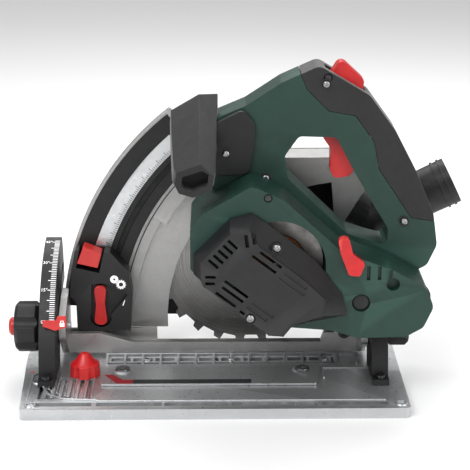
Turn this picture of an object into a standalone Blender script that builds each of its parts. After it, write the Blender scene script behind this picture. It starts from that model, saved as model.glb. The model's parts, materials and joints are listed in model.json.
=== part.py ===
"""Track plunge saw: a base that slides on a guide rail, a bevel frame that tips on two quadrants,
and a motor head that plunges its blade through the base.

Metres, +Z up. The saw stands on its sole at z = 0, the origin is the middle of the sole, the cut
runs towards -X, the motor lies on the -Y side and the blade near the +Y edge.
"""

import math

import bmesh
import bpy
from mathutils import Matrix, Vector

MM = 0.001

# Clearances
GAP = 0.3 * MM  # between pieces that touch or nearly touch
RUNNING = 0.4 * MM  # around a piece that turns or slides
SIDE_STEPS = 20  # sides of a small round piece
ROUND_STEPS = 40  # sides of a large round piece

# Base
BASE_LENGTH = 320 * MM
BASE_WIDTH = 184 * MM
BASE_SKIN = 4 * MM
BASE_HEIGHT = 9.2 * MM
BASE_BULGE = 7 * MM
NOTCH_FRONT = -98 * MM
NOTCH_REAR = 108 * MM
NOTCH_SIDE = 44 * MM
TOP_PLATE_THICK = 1.8 * MM

# Blade, its spindle and the plunge
BLADE_RADIUS = 82.5 * MM
BLADE_THICK = 1.8 * MM
BLADE_BORE = 10 * MM
BLADE_TEETH = 24
BLADE_Y = 72 * MM
BLADE_REST_GAP = 1.5 * MM
PLUNGE_DEPTH = 66 * MM
PLUNGE_ARM = 103 * MM
PIVOT_X = 114 * MM
PIVOT_Z = 31.5 * MM

# Bevel
BEVEL_Z = 0.0
BEVEL_RANGE = math.radians(46)
QUADRANT_RADIUS = 110 * MM
QUADRANT_THICK = 14 * MM
CLAMP_RADIUS = 84 * MM
CLAMP_ANGLE_FRONT = math.radians(33)
CLAMP_ANGLE_REAR = math.radians(29.5)
CLAMP_BOLT_RADIUS = 3 * MM
FRONT_QUADRANT_X = -150 * MM
REAR_QUADRANT_X = 133 * MM

# Tilt frame and blade hood
FRAME_NEAR = 20 * MM
FRAME_FAR = 42 * MM
FRAME_FLOOR = 13 * MM
FRAME_SKIN = 4 * MM
FRAME_WALL = 6 * MM
FRAME_RIB_TOP = 29 * MM
FRAME_RIB_END = -52 * MM
BRACKET_THICK = 6 * MM
HOOD_NEAR = 54 * MM
HOOD_FAR = 85 * MM
HOOD_WALL = 3 * MM
BLADE_CLEARANCE = 5 * MM
HOOD_RADIUS = 193 * MM
HOOD_BAND = 36 * MM
HOOD_TOP = 182 * MM
HOOD_BOTTOM = 24 * MM

# Depth guide and stop
GUIDE_NEAR = 44 * MM
GUIDE_THICK = 6 * MM
GUIDE_OUTER = 249 * MM
GUIDE_INNER = 199 * MM
GUIDE_FOOT_ANGLE = math.radians(4)
GUIDE_TIP_ANGLE = math.radians(52)
SCALE_OUTER = 231.5 * MM
SCALE_INNER = 218 * MM
SCALE_THICK = 1 * MM
TRACK_OUTER = 213 * MM
TRACK_INNER = 208 * MM
STOP_NEAR = 26.5 * MM
LEVER_NEAR = 25.4 * MM
LEVER_SUNK = 4.5 * MM

# Motor head
HEAD_NEAR = -58 * MM
HEAD_FAR = 17 * MM
COVER_NEAR = -80 * MM
HANDLE_NEAR = -10 * MM
HANDLE_FAR = 25 * MM
SPLIT_Y = 8 * MM
MOTOR_BORE = 39 * MM
COVER_BORE = 24 * MM
STATOR_BORE = 24 * MM
NECK_RADIUS = 27 * MM
CASE_NEAR = 46 * MM
CASE_FAR = 66 * MM
CASE_WALL = 2.5 * MM
ARM_NEAR = 29 * MM
ARM_FAR = 40 * MM

# Gear train, in teeth and module
GEAR_MODULE = 1.0 * MM
SPINDLE_TEETH = 24
LAY_PINION_TEETH = 24
LAY_GEAR_TEETH = 30
MOTOR_TEETH = 10
GEAR_LINE_ANGLE = math.radians(53.8)

# Dust outlet
DUST_RADIUS = 21 * MM
DUST_WALL = 2.5 * MM
DUST_JOINT = (122 * MM, 134 * MM)
DUST_SWIVEL_ANGLE = math.radians(-31)
DUST_SPOUT_ANGLE = math.radians(26)
DUST_SPOUT_LENGTH = 78 * MM
DUST_ELBOW_REACH = 22 * MM
DUST_MOUTH = 12 * MM

# Worked out from the sizes above
PIVOT = Vector((PIVOT_X, 0, PIVOT_Z))
BLADE_Z = BLADE_RADIUS + BLADE_REST_GAP
REST_ANGLE = math.asin((BLADE_Z - PIVOT_Z) / PLUNGE_ARM)
FULL_ANGLE = math.asin((BLADE_RADIUS - PLUNGE_DEPTH - PIVOT_Z) / PLUNGE_ARM)
PLUNGE_RANGE = REST_ANGLE - FULL_ANGLE
BLADE_X = PIVOT_X - PLUNGE_ARM * math.cos(REST_ANGLE)
LAY_OFFSET = (SPINDLE_TEETH + LAY_PINION_TEETH) / 2 * GEAR_MODULE
MOTOR_OFFSET = LAY_OFFSET + (LAY_GEAR_TEETH + MOTOR_TEETH) / 2 * GEAR_MODULE
GEAR_LINE = Vector((math.cos(GEAR_LINE_ANGLE), 0, math.sin(GEAR_LINE_ANGLE)))
SPINDLE = Vector((BLADE_X, 0, BLADE_Z))
LAY_AXIS = SPINDLE + GEAR_LINE * LAY_OFFSET
MOTOR_AXIS = SPINDLE + GEAR_LINE * MOTOR_OFFSET
BEVEL_AXIS = Vector((0, BLADE_Y, BEVEL_Z))

# Details of single pieces, in the order they are made
LOOKS = {
    "cast": ((0.62, 0.63, 0.64), 0.9, 0.45),
    "steel": ((0.45, 0.45, 0.46), 1.0, 0.3),
    "bright": ((0.75, 0.75, 0.76), 1.0, 0.2),
    "brass": ((0.7, 0.5, 0.2), 1.0, 0.35),
    "copper": ((0.72, 0.35, 0.2), 1.0, 0.35),
    "green": ((0.03, 0.2, 0.13), 0.0, 0.45),
    "black": ((0.025, 0.025, 0.027), 0.0, 0.5),
    "rubber": ((0.02, 0.02, 0.02), 0.0, 0.8),
    "red": ((0.6, 0.02, 0.02), 0.0, 0.35),
    "white": ((0.8, 0.8, 0.78), 0.0, 0.5),
    "board": ((0.02, 0.12, 0.05), 0.0, 0.4),
}
FACINGS = {
    "X": Matrix(((0, 0, 1), (1, 0, 0), (0, 1, 0))),
    "Y": Matrix(((1, 0, 0), (0, 0, -1), (0, 1, 0))),
    "Z": Matrix.Identity(3),
}
PLATE_SCREWS = ((-80 * MM, -17 * MM), (75 * MM, -17 * MM))
KNOB_PLACE = (-112 * MM, -20 * MM)
FRAME_LIP = (
    (-134.5, 13.4), (-76, 12.6), (-70, 11), (-30, 11), (-24, 12.6), (131.5, 13.4), (131.5, 31), (96, 31),
    (93, 22.4), (-72, 22.4), (-101, 31), (-134.5, 31),
)
PIN_RADIUS = 4 * MM
PIN_HEAD = 2.4 * MM
FRONT_KNOB_RADIUS = 22 * MM
REAR_KNOB_RADIUS = 13 * MM
BUTTON_RADIUS = 8 * MM
HANDLE_OUTLINE = [
    (-2, 172), (0, 232, 6), (26, 243, 6), (55, 262, 12), (86, 276, 8), (128, 251, 12), (150, 221, 14),
    (168, 187, 14), (184, 150, 14), (188, 122, 10), (180, 104, 8), (164, 96), (110, 96), (50, 150),
]
HANDLE_HOLE = [
    (70, 217, 5), (101, 216, 6), (114, 191, 10), (132, 160, 10), (146, 137, 5), (146, 122, 5),
    (128, 127, 6), (111, 133, 6), (61, 181, 8), (58, 200, 8),
]
HANDLE_HOLLOW = [
    (84, 255), (92, 262, 4), (122, 243, 4), (142, 217, 4), (160, 184, 4), (176, 148, 4), (172, 132, 3),
    (158, 132, 4), (140, 168, 4), (121, 206, 4), (108, 226, 3), (84, 228, 3),
]
BARREL_OUTLINE = [
    (-20, 152, 6), (-11, 164, 4), (30, 188, 10), (56, 176, 8), (104, 132, 8), (146, 116, 8), (174, 100, 8),
    (180, 84, 8), (172, 66, 8), (158, 58, 8), (118, 57, 6), (96, 64, 4), (60, 67, 6), (
        -12, 109, 8,
    ), (-20, 118, 4),
]
COVER_OUTLINE = [
    (-18, 131, 6), (12, 162, 6), (30, 167, 6), (82, 126, 8), (104, 96, 8), (109, 78, 5), (64, 74, 6),
    (56, 65, 4), (43, 66, 8), (-12, 109, 8), (-18, 114, 4),
]
GRIP_OUTLINE = [
    (60, 290), (71, 268), (76, 256), (94, 238), (
        116, 234, 4,
    ), (132, 212, 4), (137, 188), (165, 146), (184, 143),
    (210, 150), (190, 230), (130, 290),
]
DIAL_RADIUS = 9.5 * MM
TRIGGER_NEAR, TRIGGER_FAR = 0, 16 * MM
THUMB_NEAR, THUMB_FAR = 1 * MM, 15 * MM
TRIGGER_SLOT = [(82, 216), (92, 232), (116, 226), (130, 196), (126, 176), (100, 150), (88, 190)]
THUMB_SLOT = [(94, 282), (128, 259), (120, 242), (88, 258)]
SHELL_SCREWS = (
    (93, 266, "handle"), (43, 178, "barrel"),
)
HORN_FAR = ((-38, 226), (-35, 240), (-12, 253), (8, 252), (8, 214), (-12, 202), (-34, 208))
HORN_NEAR = ((-34, 189), (-30, 200), (-10.5, 207), (1.5, 197), (-1.5, 186), (-18, 177))
SPINDLE_BOSS = 15.5 * MM
LAY_BOSS = 20 * MM
MOTOR_BOSS = 13 * MM
CASE_COVER = 3.7 * MM
ARM_EYE = 10.5 * MM
BEARING_RADIUS = 9 * MM
BEARING_OUTER = 11 * MM
SPINDLE_RADIUS = 6 * MM
NOSE_RADIUS = 5 * MM
SHAFT_RADIUS = 3 * MM
FLANGE_RADIUS = 14.5 * MM
STAGE_ONE = (49 * MM, 53.5 * MM)
STAGE_TWO = (55 * MM, 60.5 * MM)


def remove_objects():
    for old in list(bpy.data.objects):
        bpy.data.objects.remove(old, do_unlink=True)


def new_collection(name, hidden=False):
    group = bpy.data.collections.new(name)
    bpy.context.scene.collection.children.link(group)
    group.hide_render = hidden
    return group


remove_objects()
SAW = new_collection("track_plunge_saw")
CUTTERS = new_collection("cutters", hidden=True)


def new_look(name, colour, metallic, roughness):
    look = bpy.data.materials.new(name)
    look.use_nodes = True
    shader = look.node_tree.nodes["Principled BSDF"]
    shader.inputs["Base Color"].default_value = (*colour, 1)
    shader.inputs["Metallic"].default_value = metallic
    shader.inputs["Roughness"].default_value = roughness
    look.diffuse_color = (*colour, 1)
    return look


def finish(piece, look, axle=None):
    """Gives a piece its own material, its collection and, where it moves, its axis empty."""
    piece.data.materials.clear()
    piece.data.materials.append(new_look(piece.name, *LOOKS[look]))
    for group in list(piece.users_collection):
        group.objects.unlink(piece)
    SAW.objects.link(piece)
    if axle is not None:
        piece.location = piece.location - world_of(axle)
        piece.parent = axle
    return piece


def world_of(axle):
    place = axle.location.copy()
    return place + world_of(axle.parent) if axle.parent else place


def axis_empty(name, place, parent=None):
    axle = bpy.data.objects.new(name, None)
    axle.location = Vector(place)
    SAW.objects.link(axle)
    if parent is not None:
        axle.location = axle.location - world_of(parent)
        axle.parent = parent
    return axle


def hide_as_cutter(piece):
    for group in list(piece.users_collection):
        group.objects.unlink(piece)
    CUTTERS.objects.link(piece)
    piece.hide_render = True
    piece.display_type = "WIRE"


def combine(piece, other, operation):
    hide_as_cutter(other)
    step = piece.modifiers.new(other.name, "BOOLEAN")
    step.operation = operation
    step.object = other
    return piece


def cut(piece, *cutters):
    for cutter in cutters:
        combine(piece, cutter, "DIFFERENCE")
    return piece


def fuse(piece, *others):
    for other in others:
        combine(piece, other, "UNION")
    return piece


def meet(piece, other):
    return combine(piece, other, "INTERSECT")


def soften(piece, width):
    """Bevels the sharp edges of a piece."""
    step = piece.modifiers.new("edges", "BEVEL")
    step.width = width
    step.segments = 1
    step.limit_method = "ANGLE"
    step.angle_limit = math.radians(40)
    return piece


def from_bmesh(name, bm, place=(0, 0, 0), turn=None):
    mesh = bpy.data.meshes.new(name)
    bmesh.ops.recalc_face_normals(bm, faces=bm.faces)
    bm.to_mesh(mesh)
    bm.free()
    if turn is not None:
        mesh.transform(turn.to_4x4())
    mesh.shade_smooth()
    mesh.set_sharp_from_angle(angle=math.radians(35))
    piece = bpy.data.objects.new(name, mesh)
    piece.location = place
    SAW.objects.link(piece)
    return piece


def towards(direction):
    """The rotation that turns local +Z to a direction."""
    return Vector((0, 0, 1)).rotation_difference(Vector(direction)).to_matrix()


def block(name, low, high):
    bm = bmesh.new()
    bmesh.ops.create_cube(bm, size=1)
    size = [b - a for a, b in zip(low, high)]
    bmesh.ops.scale(bm, vec=size, verts=bm.verts)
    middle = [(a + b) / 2 for a, b in zip(low, high)]
    return from_bmesh(name, bm, middle)


def rod(name, start, end, radius, end_radius=None, steps=SIDE_STEPS):
    """A cylinder or cone between two points."""
    start, end = Vector(start), Vector(end)
    bm = bmesh.new()
    bmesh.ops.create_cone(
        bm, cap_ends=True, segments=steps, radius1=radius,
        radius2=radius if end_radius is None else end_radius, depth=(end - start).length,
    )
    return from_bmesh(name, bm, (start + end) / 2, towards(end - start))


def turned(name, profile, base, direction, steps=SIDE_STEPS):
    """A turned piece: its (radius, height) profile runs from the top down its outer side."""
    bm = bmesh.new()
    points = [bm.verts.new((radius, 0, height)) for radius, height in profile]
    closed = profile[0][0] > 0 or profile[-1][0] > 0
    pairs = list(zip(points, points[1:])) + ([(points[-1], points[0])] if closed else [])
    for pair in pairs:
        bm.edges.new(pair)
    mesh = bpy.data.meshes.new(name)
    bm.to_mesh(mesh)
    bm.free()
    piece = bpy.data.objects.new(name, mesh)
    piece.location = base
    piece.rotation_mode = "QUATERNION"
    piece.rotation_quaternion = Vector((0, 0, 1)).rotation_difference(Vector(direction))
    SAW.objects.link(piece)
    screw = piece.modifiers.new("turn", "SCREW")
    screw.steps = steps
    screw.render_steps = steps
    screw.use_merge_vertices = True
    screw.merge_threshold = 0.00001
    screw.use_smooth_shade = False
    return piece


def arc(centre, radius, start, end, steps):
    """Points on an arc, angles in radians counted up from +X."""
    points = []
    for i in range(steps + 1):
        angle = start + (end - start) * i / steps
        points.append((centre[0] + radius * math.cos(angle), centre[1] + radius * math.sin(angle)))
    return points


def rounded(corners, steps=3):
    """An outline in millimetres, each corner (a, b) or (a, b, radius), as points in metres."""
    points = []
    for i, corner in enumerate(corners):
        here = Vector(corner[:2])
        radius = corner[2] if len(corner) > 2 else 0
        if not radius:
            points.append(here)
            continue
        back = (Vector(corners[i - 1][:2]) - here).normalized()
        on = (Vector(corners[(i + 1) % len(corners)][:2]) - here).normalized()
        half = back.angle(on) / 2
        reach = radius / math.tan(half)
        middle = here + (back + on).normalized() * (radius / math.sin(half))
        first = here + back * reach - middle
        sweep = first.angle_signed(here + on * reach - middle)
        for k in range(steps + 1):
            turn = Matrix.Rotation(-sweep * k / steps, 2)
            points.append(middle + turn @ first)
    return [(p[0] * MM, p[1] * MM) for p in points]


def plate(name, outlines, low, high, facing="Y"):
    """A flat outline, with holes where further outlines lie inside it, made thick along an axis.

    Facing X takes (y, z) points, Y takes (x, z) points and Z takes (x, y) points.
    """
    curve = bpy.data.curves.new(name, "CURVE")
    curve.dimensions = "2D"
    curve.fill_mode = "BOTH"
    curve.extrude = (high - low) / 2
    for outline in outlines:
        spline = curve.splines.new("POLY")
        spline.points.add(len(outline) - 1)
        for point, (a, b) in zip(spline.points, outline):
            point.co = (a, b, 0, 1)
        spline.use_cyclic_u = True
    holder = bpy.data.objects.new(name, curve)
    SAW.objects.link(holder)
    bpy.context.view_layer.update()
    ready = holder.evaluated_get(bpy.context.evaluated_depsgraph_get())
    mesh = bpy.data.meshes.new_from_object(ready)
    bpy.data.objects.remove(holder)
    bpy.data.curves.remove(curve)
    bm = bmesh.new()
    bm.from_mesh(mesh)
    bpy.data.meshes.remove(mesh)
    bmesh.ops.remove_doubles(bm, verts=bm.verts, dist=0.00001)
    turn = FACINGS[facing]
    along = Vector([float(facing == letter) for letter in "XYZ"])
    return from_bmesh(name, bm, along * (low + high) / 2, turn)


def ring_sector(centre, inner, outer, start, end, steps):
    """The outline of part of a ring."""
    return arc(centre, outer, start, end, steps) + arc(centre, inner, end, start, steps)


def about_pivot(inner, outer, low, high, steps=16):
    """A ring sector in front of the plunge pivot, its angles counted up from straight ahead."""
    centre = (PIVOT_X, PIVOT_Z)
    return ring_sector(centre, inner, outer, math.pi - low, math.pi - high, steps)


def at_angle(radius, angle):
    """A point (x, z) in front of the plunge pivot."""
    return PIVOT_X - radius * math.cos(angle), PIVOT_Z + radius * math.sin(angle)


def on_quadrant(radius, angle):
    """A point (y, z) on the near side of the bevel axis."""
    return BLADE_Y - radius * math.cos(angle), BEVEL_Z + radius * math.sin(angle)


def circle(centre, radius, steps=SIDE_STEPS):
    return arc(centre, radius, 0, 2 * math.pi * (steps - 1) / steps, steps - 1)


def base_outline():
    """The sole seen from above: bulged ends, a notch on the far side for the hood and blade."""
    half, side = BASE_LENGTH / 2 / MM, BASE_WIDTH / 2 / MM
    bulge = BASE_BULGE / MM
    return rounded([
        (-half, -side, 4), (half, -side, 4), (half, side, 12), (NOTCH_REAR / MM, side, 6),
        (NOTCH_REAR / MM, NOTCH_SIDE / MM, 6), (NOTCH_FRONT / MM, NOTCH_SIDE / MM, 6),
        (NOTCH_FRONT / MM, side, 6), (-half + 12, side, 40), (-half - bulge, side / 3, 60),
        (-half - bulge / 2, -side / 3, 60),
    ], steps=4)


def make_base():
    half, side = BASE_LENGTH / 2, BASE_WIDTH / 2
    base = plate("base_plate", [base_outline()], 0, BASE_HEIGHT, "Z")
    pockets = [
        (-half + 10 * MM, -side + 7 * MM, -102 * MM, -side + 14 * MM),
        (-98 * MM, -side + 7 * MM, 84 * MM, -side + 14 * MM),
        (88 * MM, -side + 7 * MM, half - 18 * MM, -side + 14 * MM),
        (-half + 12 * MM, -side + 22 * MM, -104 * MM, -side + 64 * MM),
        (-96 * MM, 2 * MM, 104 * MM, 16 * MM),
    ]
    for i, (x0, y0, x1, y1) in enumerate(pockets):
        cut(base, block(f"pocket_{i}", (x0, y0, BASE_SKIN), (x1, y1, 20 * MM)))
    for i, x in enumerate((-half + 9 * MM, half - 7 * MM)):
        hole = rod(f"corner_hole_{i}", (x, -side + 9 * MM, -1 * MM), (x, -side + 9 * MM, 20 * MM), 2.6 * MM)
        cut(base, hole)
    channel = block(
        "rail_channel", (-half - 20 * MM, -38 * MM, -5 * MM), (half + 20 * MM, -26 * MM, 1.2 * MM),
    )
    cut(base, channel)
    for i, (x, y) in enumerate(PLATE_SCREWS):
        cut(base, rod(f"screw_seat_{i}", (x, y, 3 * MM), (x, y, 20 * MM), 2.6 * MM + RUNNING))
    stud_seat = rod("knob_seat", (*KNOB_PLACE, 3 * MM), (*KNOB_PLACE, 20 * MM), 4 * MM + RUNNING)
    cut(base, stud_seat)
    fuse(base, finger_pad(-half + 14 * MM, -side + 24 * MM), rib_grate(-94 * MM, 4 * MM))
    finish(base, "cast")
    make_adjustment_plate()


def finger_pad(x, y):
    """The ribbed pad at the front of the base where the free hand holds it down."""
    length, width, ribs = 40 * MM, 38 * MM, 6
    outline = [(x, y), (x + length, y), (x + length, y + width), (x, y + width)]
    pad = plate("finger_pad", [outline], BASE_SKIN - 1 * MM, BASE_SKIN + 2 * MM, "Z")
    for i in range(ribs):
        low = x + length * (i + 0.25) / ribs
        rib = block(
            f"pad_rib_{i}", (low, y + 1 * MM, BASE_SKIN + 1 * MM),
            (low + 3 * MM, y + width - 1 * MM, BASE_HEIGHT),
        )
        fuse(pad, rib)
    return pad


def rib_grate(x, y):
    """The row of strengthening ribs along the middle of the base."""
    length, width, ribs = 196 * MM, 10 * MM, 11
    low, high = BASE_SKIN - 1 * MM, BASE_HEIGHT + 1 * MM
    grate = block("rib_grate", (x, y, low), (x + length, y + 2 * MM, high))
    for i in range(ribs):
        left = x + (length - 2.5 * MM) * i / (ribs - 1)
        fuse(grate, block(f"grate_rib_{i}", (left, y, low), (left + 2.5 * MM, y + width, high)))
    return grate


def make_adjustment_plate():
    """The plate that takes up play on the rail, its two screws and its knob."""
    low, high = BASE_HEIGHT + GAP, BASE_HEIGHT + GAP + TOP_PLATE_THICK
    outline = rounded([(-98, -46, 3), (86, -46, 3), (92, -3, 3), (-92, -3, 3)])
    seats = [circle(place, 2.6 * MM + RUNNING) for place in PLATE_SCREWS]
    finish(plate("adjustment_plate", [outline] + seats, low, high, "Z"), "cast")
    for i, (x, y) in enumerate(PLATE_SCREWS):
        screw = turned(f"plate_screw_{i + 1}", [
            (0, 2.8 * MM), (6 * MM, 2.6 * MM), (6 * MM, GAP), (2.6 * MM, GAP), (
                2.6 * MM, -6 * MM,
            ), (0, -6 * MM),
        ], (x, y, high), (0, 0, 1), 16)
        cut(
            screw,
            rod(f"plate_screw_hex_{i}", (x, y, high + 1 * MM), (x, y, high + 5 * MM), 2.5 * MM, steps=6),
        )
        finish(screw, "steel")
    axle = axis_empty("rail_knob_axis", (*KNOB_PLACE, 0))
    knob = turned("rail_play_knob", [
        (0, 30 * MM), (4 * MM, 29 * MM), (9 * MM, 22 * MM), (12.5 * MM, 20 * MM), (13 * MM, 12 * MM),
        (13 * MM, BASE_HEIGHT + GAP), (4 * MM, BASE_HEIGHT + GAP), (4 * MM, 3.5 * MM), (0, 3.5 * MM),
    ], (*KNOB_PLACE, 0), (0, 0, 1), 24)
    for i in range(6):
        angle = math.radians(60 * i)
        x = KNOB_PLACE[0] + 15.5 * MM * math.cos(angle)
        y = KNOB_PLACE[1] + 15.5 * MM * math.sin(angle)
        cut(knob, rod(f"knob_flute_{i}", (x, y, 8 * MM), (x, y, 40 * MM), 4 * MM, steps=12))
    finish(knob, "red", axle)


def make_quadrant(name, low, clamp_angle, rim_top):
    """An upright bevel guide: a curved rim and an arc slot for the clamp bolt, both about the bevel axis."""
    centre = (BLADE_Y, BEVEL_Z)
    foot = BASE_HEIGHT + GAP
    rim_start = math.pi - math.asin((foot + 4 * MM) / QUADRANT_RADIUS)
    rim_end = math.pi - rim_top
    tip = math.pi - math.radians(84)
    rim = arc(centre, QUADRANT_RADIUS, rim_start, rim_end, 14)
    inner = CLAMP_RADIUS - 16 * MM
    shoulder = arc(centre, CLAMP_RADIUS + 12 * MM, tip, tip, 1)[:1]
    back = arc(centre, inner, tip, math.pi - math.asin((foot + 4 * MM) / inner), 8)
    shape = [(rim[0][0], foot)] + rim + shoulder + back + [(back[-1][0], foot)]
    reach = CLAMP_BOLT_RADIUS + RUNNING
    slack = math.radians(1.5)
    start, end = math.pi - clamp_angle + slack, math.pi - clamp_angle - BEVEL_RANGE - slack
    slot = arc(centre, CLAMP_RADIUS + reach, start, end, 12)
    cap_end = (BLADE_Y + CLAMP_RADIUS * math.cos(end), BEVEL_Z + CLAMP_RADIUS * math.sin(end))
    cap_start = (BLADE_Y + CLAMP_RADIUS * math.cos(start), BEVEL_Z + CLAMP_RADIUS * math.sin(start))
    slot += arc(cap_end, reach, end, end - math.pi, 5)[1:-1]
    slot += arc(centre, CLAMP_RADIUS - reach, end, start, 12)
    slot += arc(cap_start, reach, start + math.pi, start, 5)[1:-1]
    quadrant = plate(name, [shape, slot], low, low + QUADRANT_THICK, "X")
    near = rim[0][0]
    lug = block(
        f"{name}_lug", (low, near - 10 * MM, foot), (low + QUADRANT_THICK, near + 20 * MM, foot + 5 * MM),
    )
    fuse(quadrant, lug)
    screw_y = near - 5 * MM
    x = low + QUADRANT_THICK / 2
    cut(
        quadrant,
        rod(f"{name}_lug_hole", (x, screw_y, 0), (x, screw_y, 40 * MM), 2.2 * MM + RUNNING, steps=14),
    )
    finish(quadrant, "black")
    screw = turned(f"{name}_screw", [
        (0, foot + 8.6 * MM), (4 * MM, foot + 8.2 * MM), (4 * MM, foot + 5 * MM + GAP), (
            2.2 * MM, foot + 5 * MM + GAP,
        ),
        (2.2 * MM, foot), (0, foot),
    ], (x, screw_y, 0), (0, 0, 1), 14)
    cut(screw, rod(f"{name}_hex", (x, screw_y, foot + 7 * MM), (x, screw_y, 40 * MM), 2 * MM, steps=6))
    finish(screw, "steel")


def make_tilt_frame(bevel):
    """The channel under the motor head, its two end brackets and the lugs of the plunge pivot."""
    front = FRONT_QUADRANT_X + QUADRANT_THICK + 1 * MM
    rear = REAR_QUADRANT_X - 1 * MM
    frame = block(
        "tilt_frame", (front, FRAME_NEAR + 0.5 * MM, FRAME_FLOOR),
        (rear, FRAME_FAR, FRAME_FLOOR + FRAME_SKIN),
    )
    wall_front = front + BRACKET_THICK
    fuse(frame, plate("frame_wall", [rounded(FRAME_LIP)], FRAME_NEAR, FRAME_NEAR + FRAME_WALL))
    fuse(frame, block(
        "back_rib", (wall_front - 1 * MM, FRAME_FAR - 3.5 * MM, FRAME_FLOOR + 1 * MM),
        (FRAME_RIB_END, FRAME_FAR - 0.5 * MM, FRAME_RIB_TOP),
    ))
    for i, (low, high, angle) in enumerate((
        (front, wall_front, CLAMP_ANGLE_FRONT), (rear - BRACKET_THICK, rear, CLAMP_ANGLE_REAR),
    )):
        y, z = on_quadrant(CLAMP_RADIUS, angle)
        shape = rounded([
            (y / MM - 9, z / MM - 9, 6), (FRAME_NEAR / MM, FRAME_FLOOR / MM), (
                GUIDE_NEAR / MM - 1, FRAME_FLOOR / MM,
            ),
            (
                GUIDE_NEAR / MM - 1, z / MM + 24, 8,
            ), (FRAME_NEAR / MM, z / MM + 20, 8), (y / MM - 9, z / MM + 9, 6),
        ])
        bracket = plate(f"bracket_{i}", [shape], low, high, "X")
        fuse(frame, bracket)
        cut(
            frame,
            rod(f"clamp_hole_{i}", (low - 5 * MM, y, z), (high + 5 * MM, y, z), CLAMP_BOLT_RADIUS + RUNNING),
        )
    for i, x in enumerate((wall_front, NOTCH_REAR + 2 * MM)):
        fuse(
            frame,
            block(
                f"frame_shelf_{i}", (x, FRAME_FAR - 1 * MM, FRAME_FLOOR),
                (x + 14 * MM, HOOD_NEAR - GAP, FRAME_FLOOR + FRAME_SKIN),
            ),
        )
    lug = rounded([
        (PIVOT_X / MM - 9, FRAME_FLOOR / MM), (PIVOT_X / MM + 10, FRAME_FLOOR / MM),
        (PIVOT_X / MM + 10, PIVOT_Z / MM + 10, 7), (PIVOT_X / MM - 9, PIVOT_Z / MM + 10, 7),
    ])
    near_lug = plate("near_lug", [lug], FRAME_NEAR, ARM_NEAR - 1 * MM)
    far_lug = plate("far_lug", [lug], ARM_FAR + 1 * MM, ARM_FAR + 8 * MM)
    fuse(frame, near_lug, far_lug)
    fuse(
        frame,
        block(
            "lug_web", (PIVOT_X - 9 * MM, ARM_FAR + 1 * MM, FRAME_FLOOR),
            (PIVOT_X + 10 * MM, ARM_FAR + 8 * MM, FRAME_FLOOR + FRAME_SKIN),
        ),
    )
    cut(
        frame,
        rod(
            "pivot_hole", (PIVOT_X, FRAME_NEAR - 5 * MM, PIVOT_Z), (PIVOT_X, ARM_FAR + 12 * MM, PIVOT_Z),
            PIN_RADIUS + GAP,
        ),
    )
    finish(frame, "cast", bevel)
    pin = turned("plunge_pivot_pin", [
        (0, PIN_HEAD), (5.5 * MM, PIN_HEAD), (5.5 * MM, GAP), (PIN_RADIUS, GAP),
        (PIN_RADIUS, FRAME_NEAR - ARM_FAR - 8 * MM), (0, FRAME_NEAR - ARM_FAR - 8 * MM),
    ], (PIVOT_X, FRAME_NEAR, PIVOT_Z), (0, -1, 0))
    y = FRAME_NEAR - PIN_HEAD
    cut(
        pin,
        rod("pin_hex", (PIVOT_X, y - 1 * MM, PIVOT_Z), (PIVOT_X, y + 1.6 * MM, PIVOT_Z), 2.8 * MM, steps=6),
    )
    finish(pin, "steel", bevel)


def hood_outline(inset):
    """The blade hood from the side: an arc about the plunge pivot, a flat top and a sloping back."""
    radius = HOOD_RADIUS - inset
    centre = (PIVOT_X, PIVOT_Z)
    low = HOOD_BOTTOM + (0 if inset == 0 else -20 * MM)
    start = math.pi + math.asin((PIVOT_Z - low) / radius)
    top = HOOD_TOP - inset
    end = math.pi - math.asin((top - 9 * MM - PIVOT_Z) / radius)
    front = arc(centre, radius, start, end, 18)
    x, z = front[-1]
    shoulder = (x + 14 * MM, top)
    along = Vector((math.cos(DUST_SWIVEL_ANGLE), math.sin(DUST_SWIVEL_ANGLE)))
    across = Vector((-along.y, along.x))
    joint = Vector(DUST_JOINT) - along * (GAP + inset)
    upper = joint + across * (DUST_RADIUS + 3 * MM - inset)
    lower = joint - across * (DUST_RADIUS + 3 * MM - inset)
    back = [shoulder, (upper.x - 12 * MM, top), tuple(upper), tuple(lower)]
    rear = BLADE_X + BLADE_RADIUS + BLADE_CLEARANCE + HOOD_WALL - inset
    return front + back + [(rear, lower.y - 14 * MM), (rear, low)]


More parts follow.
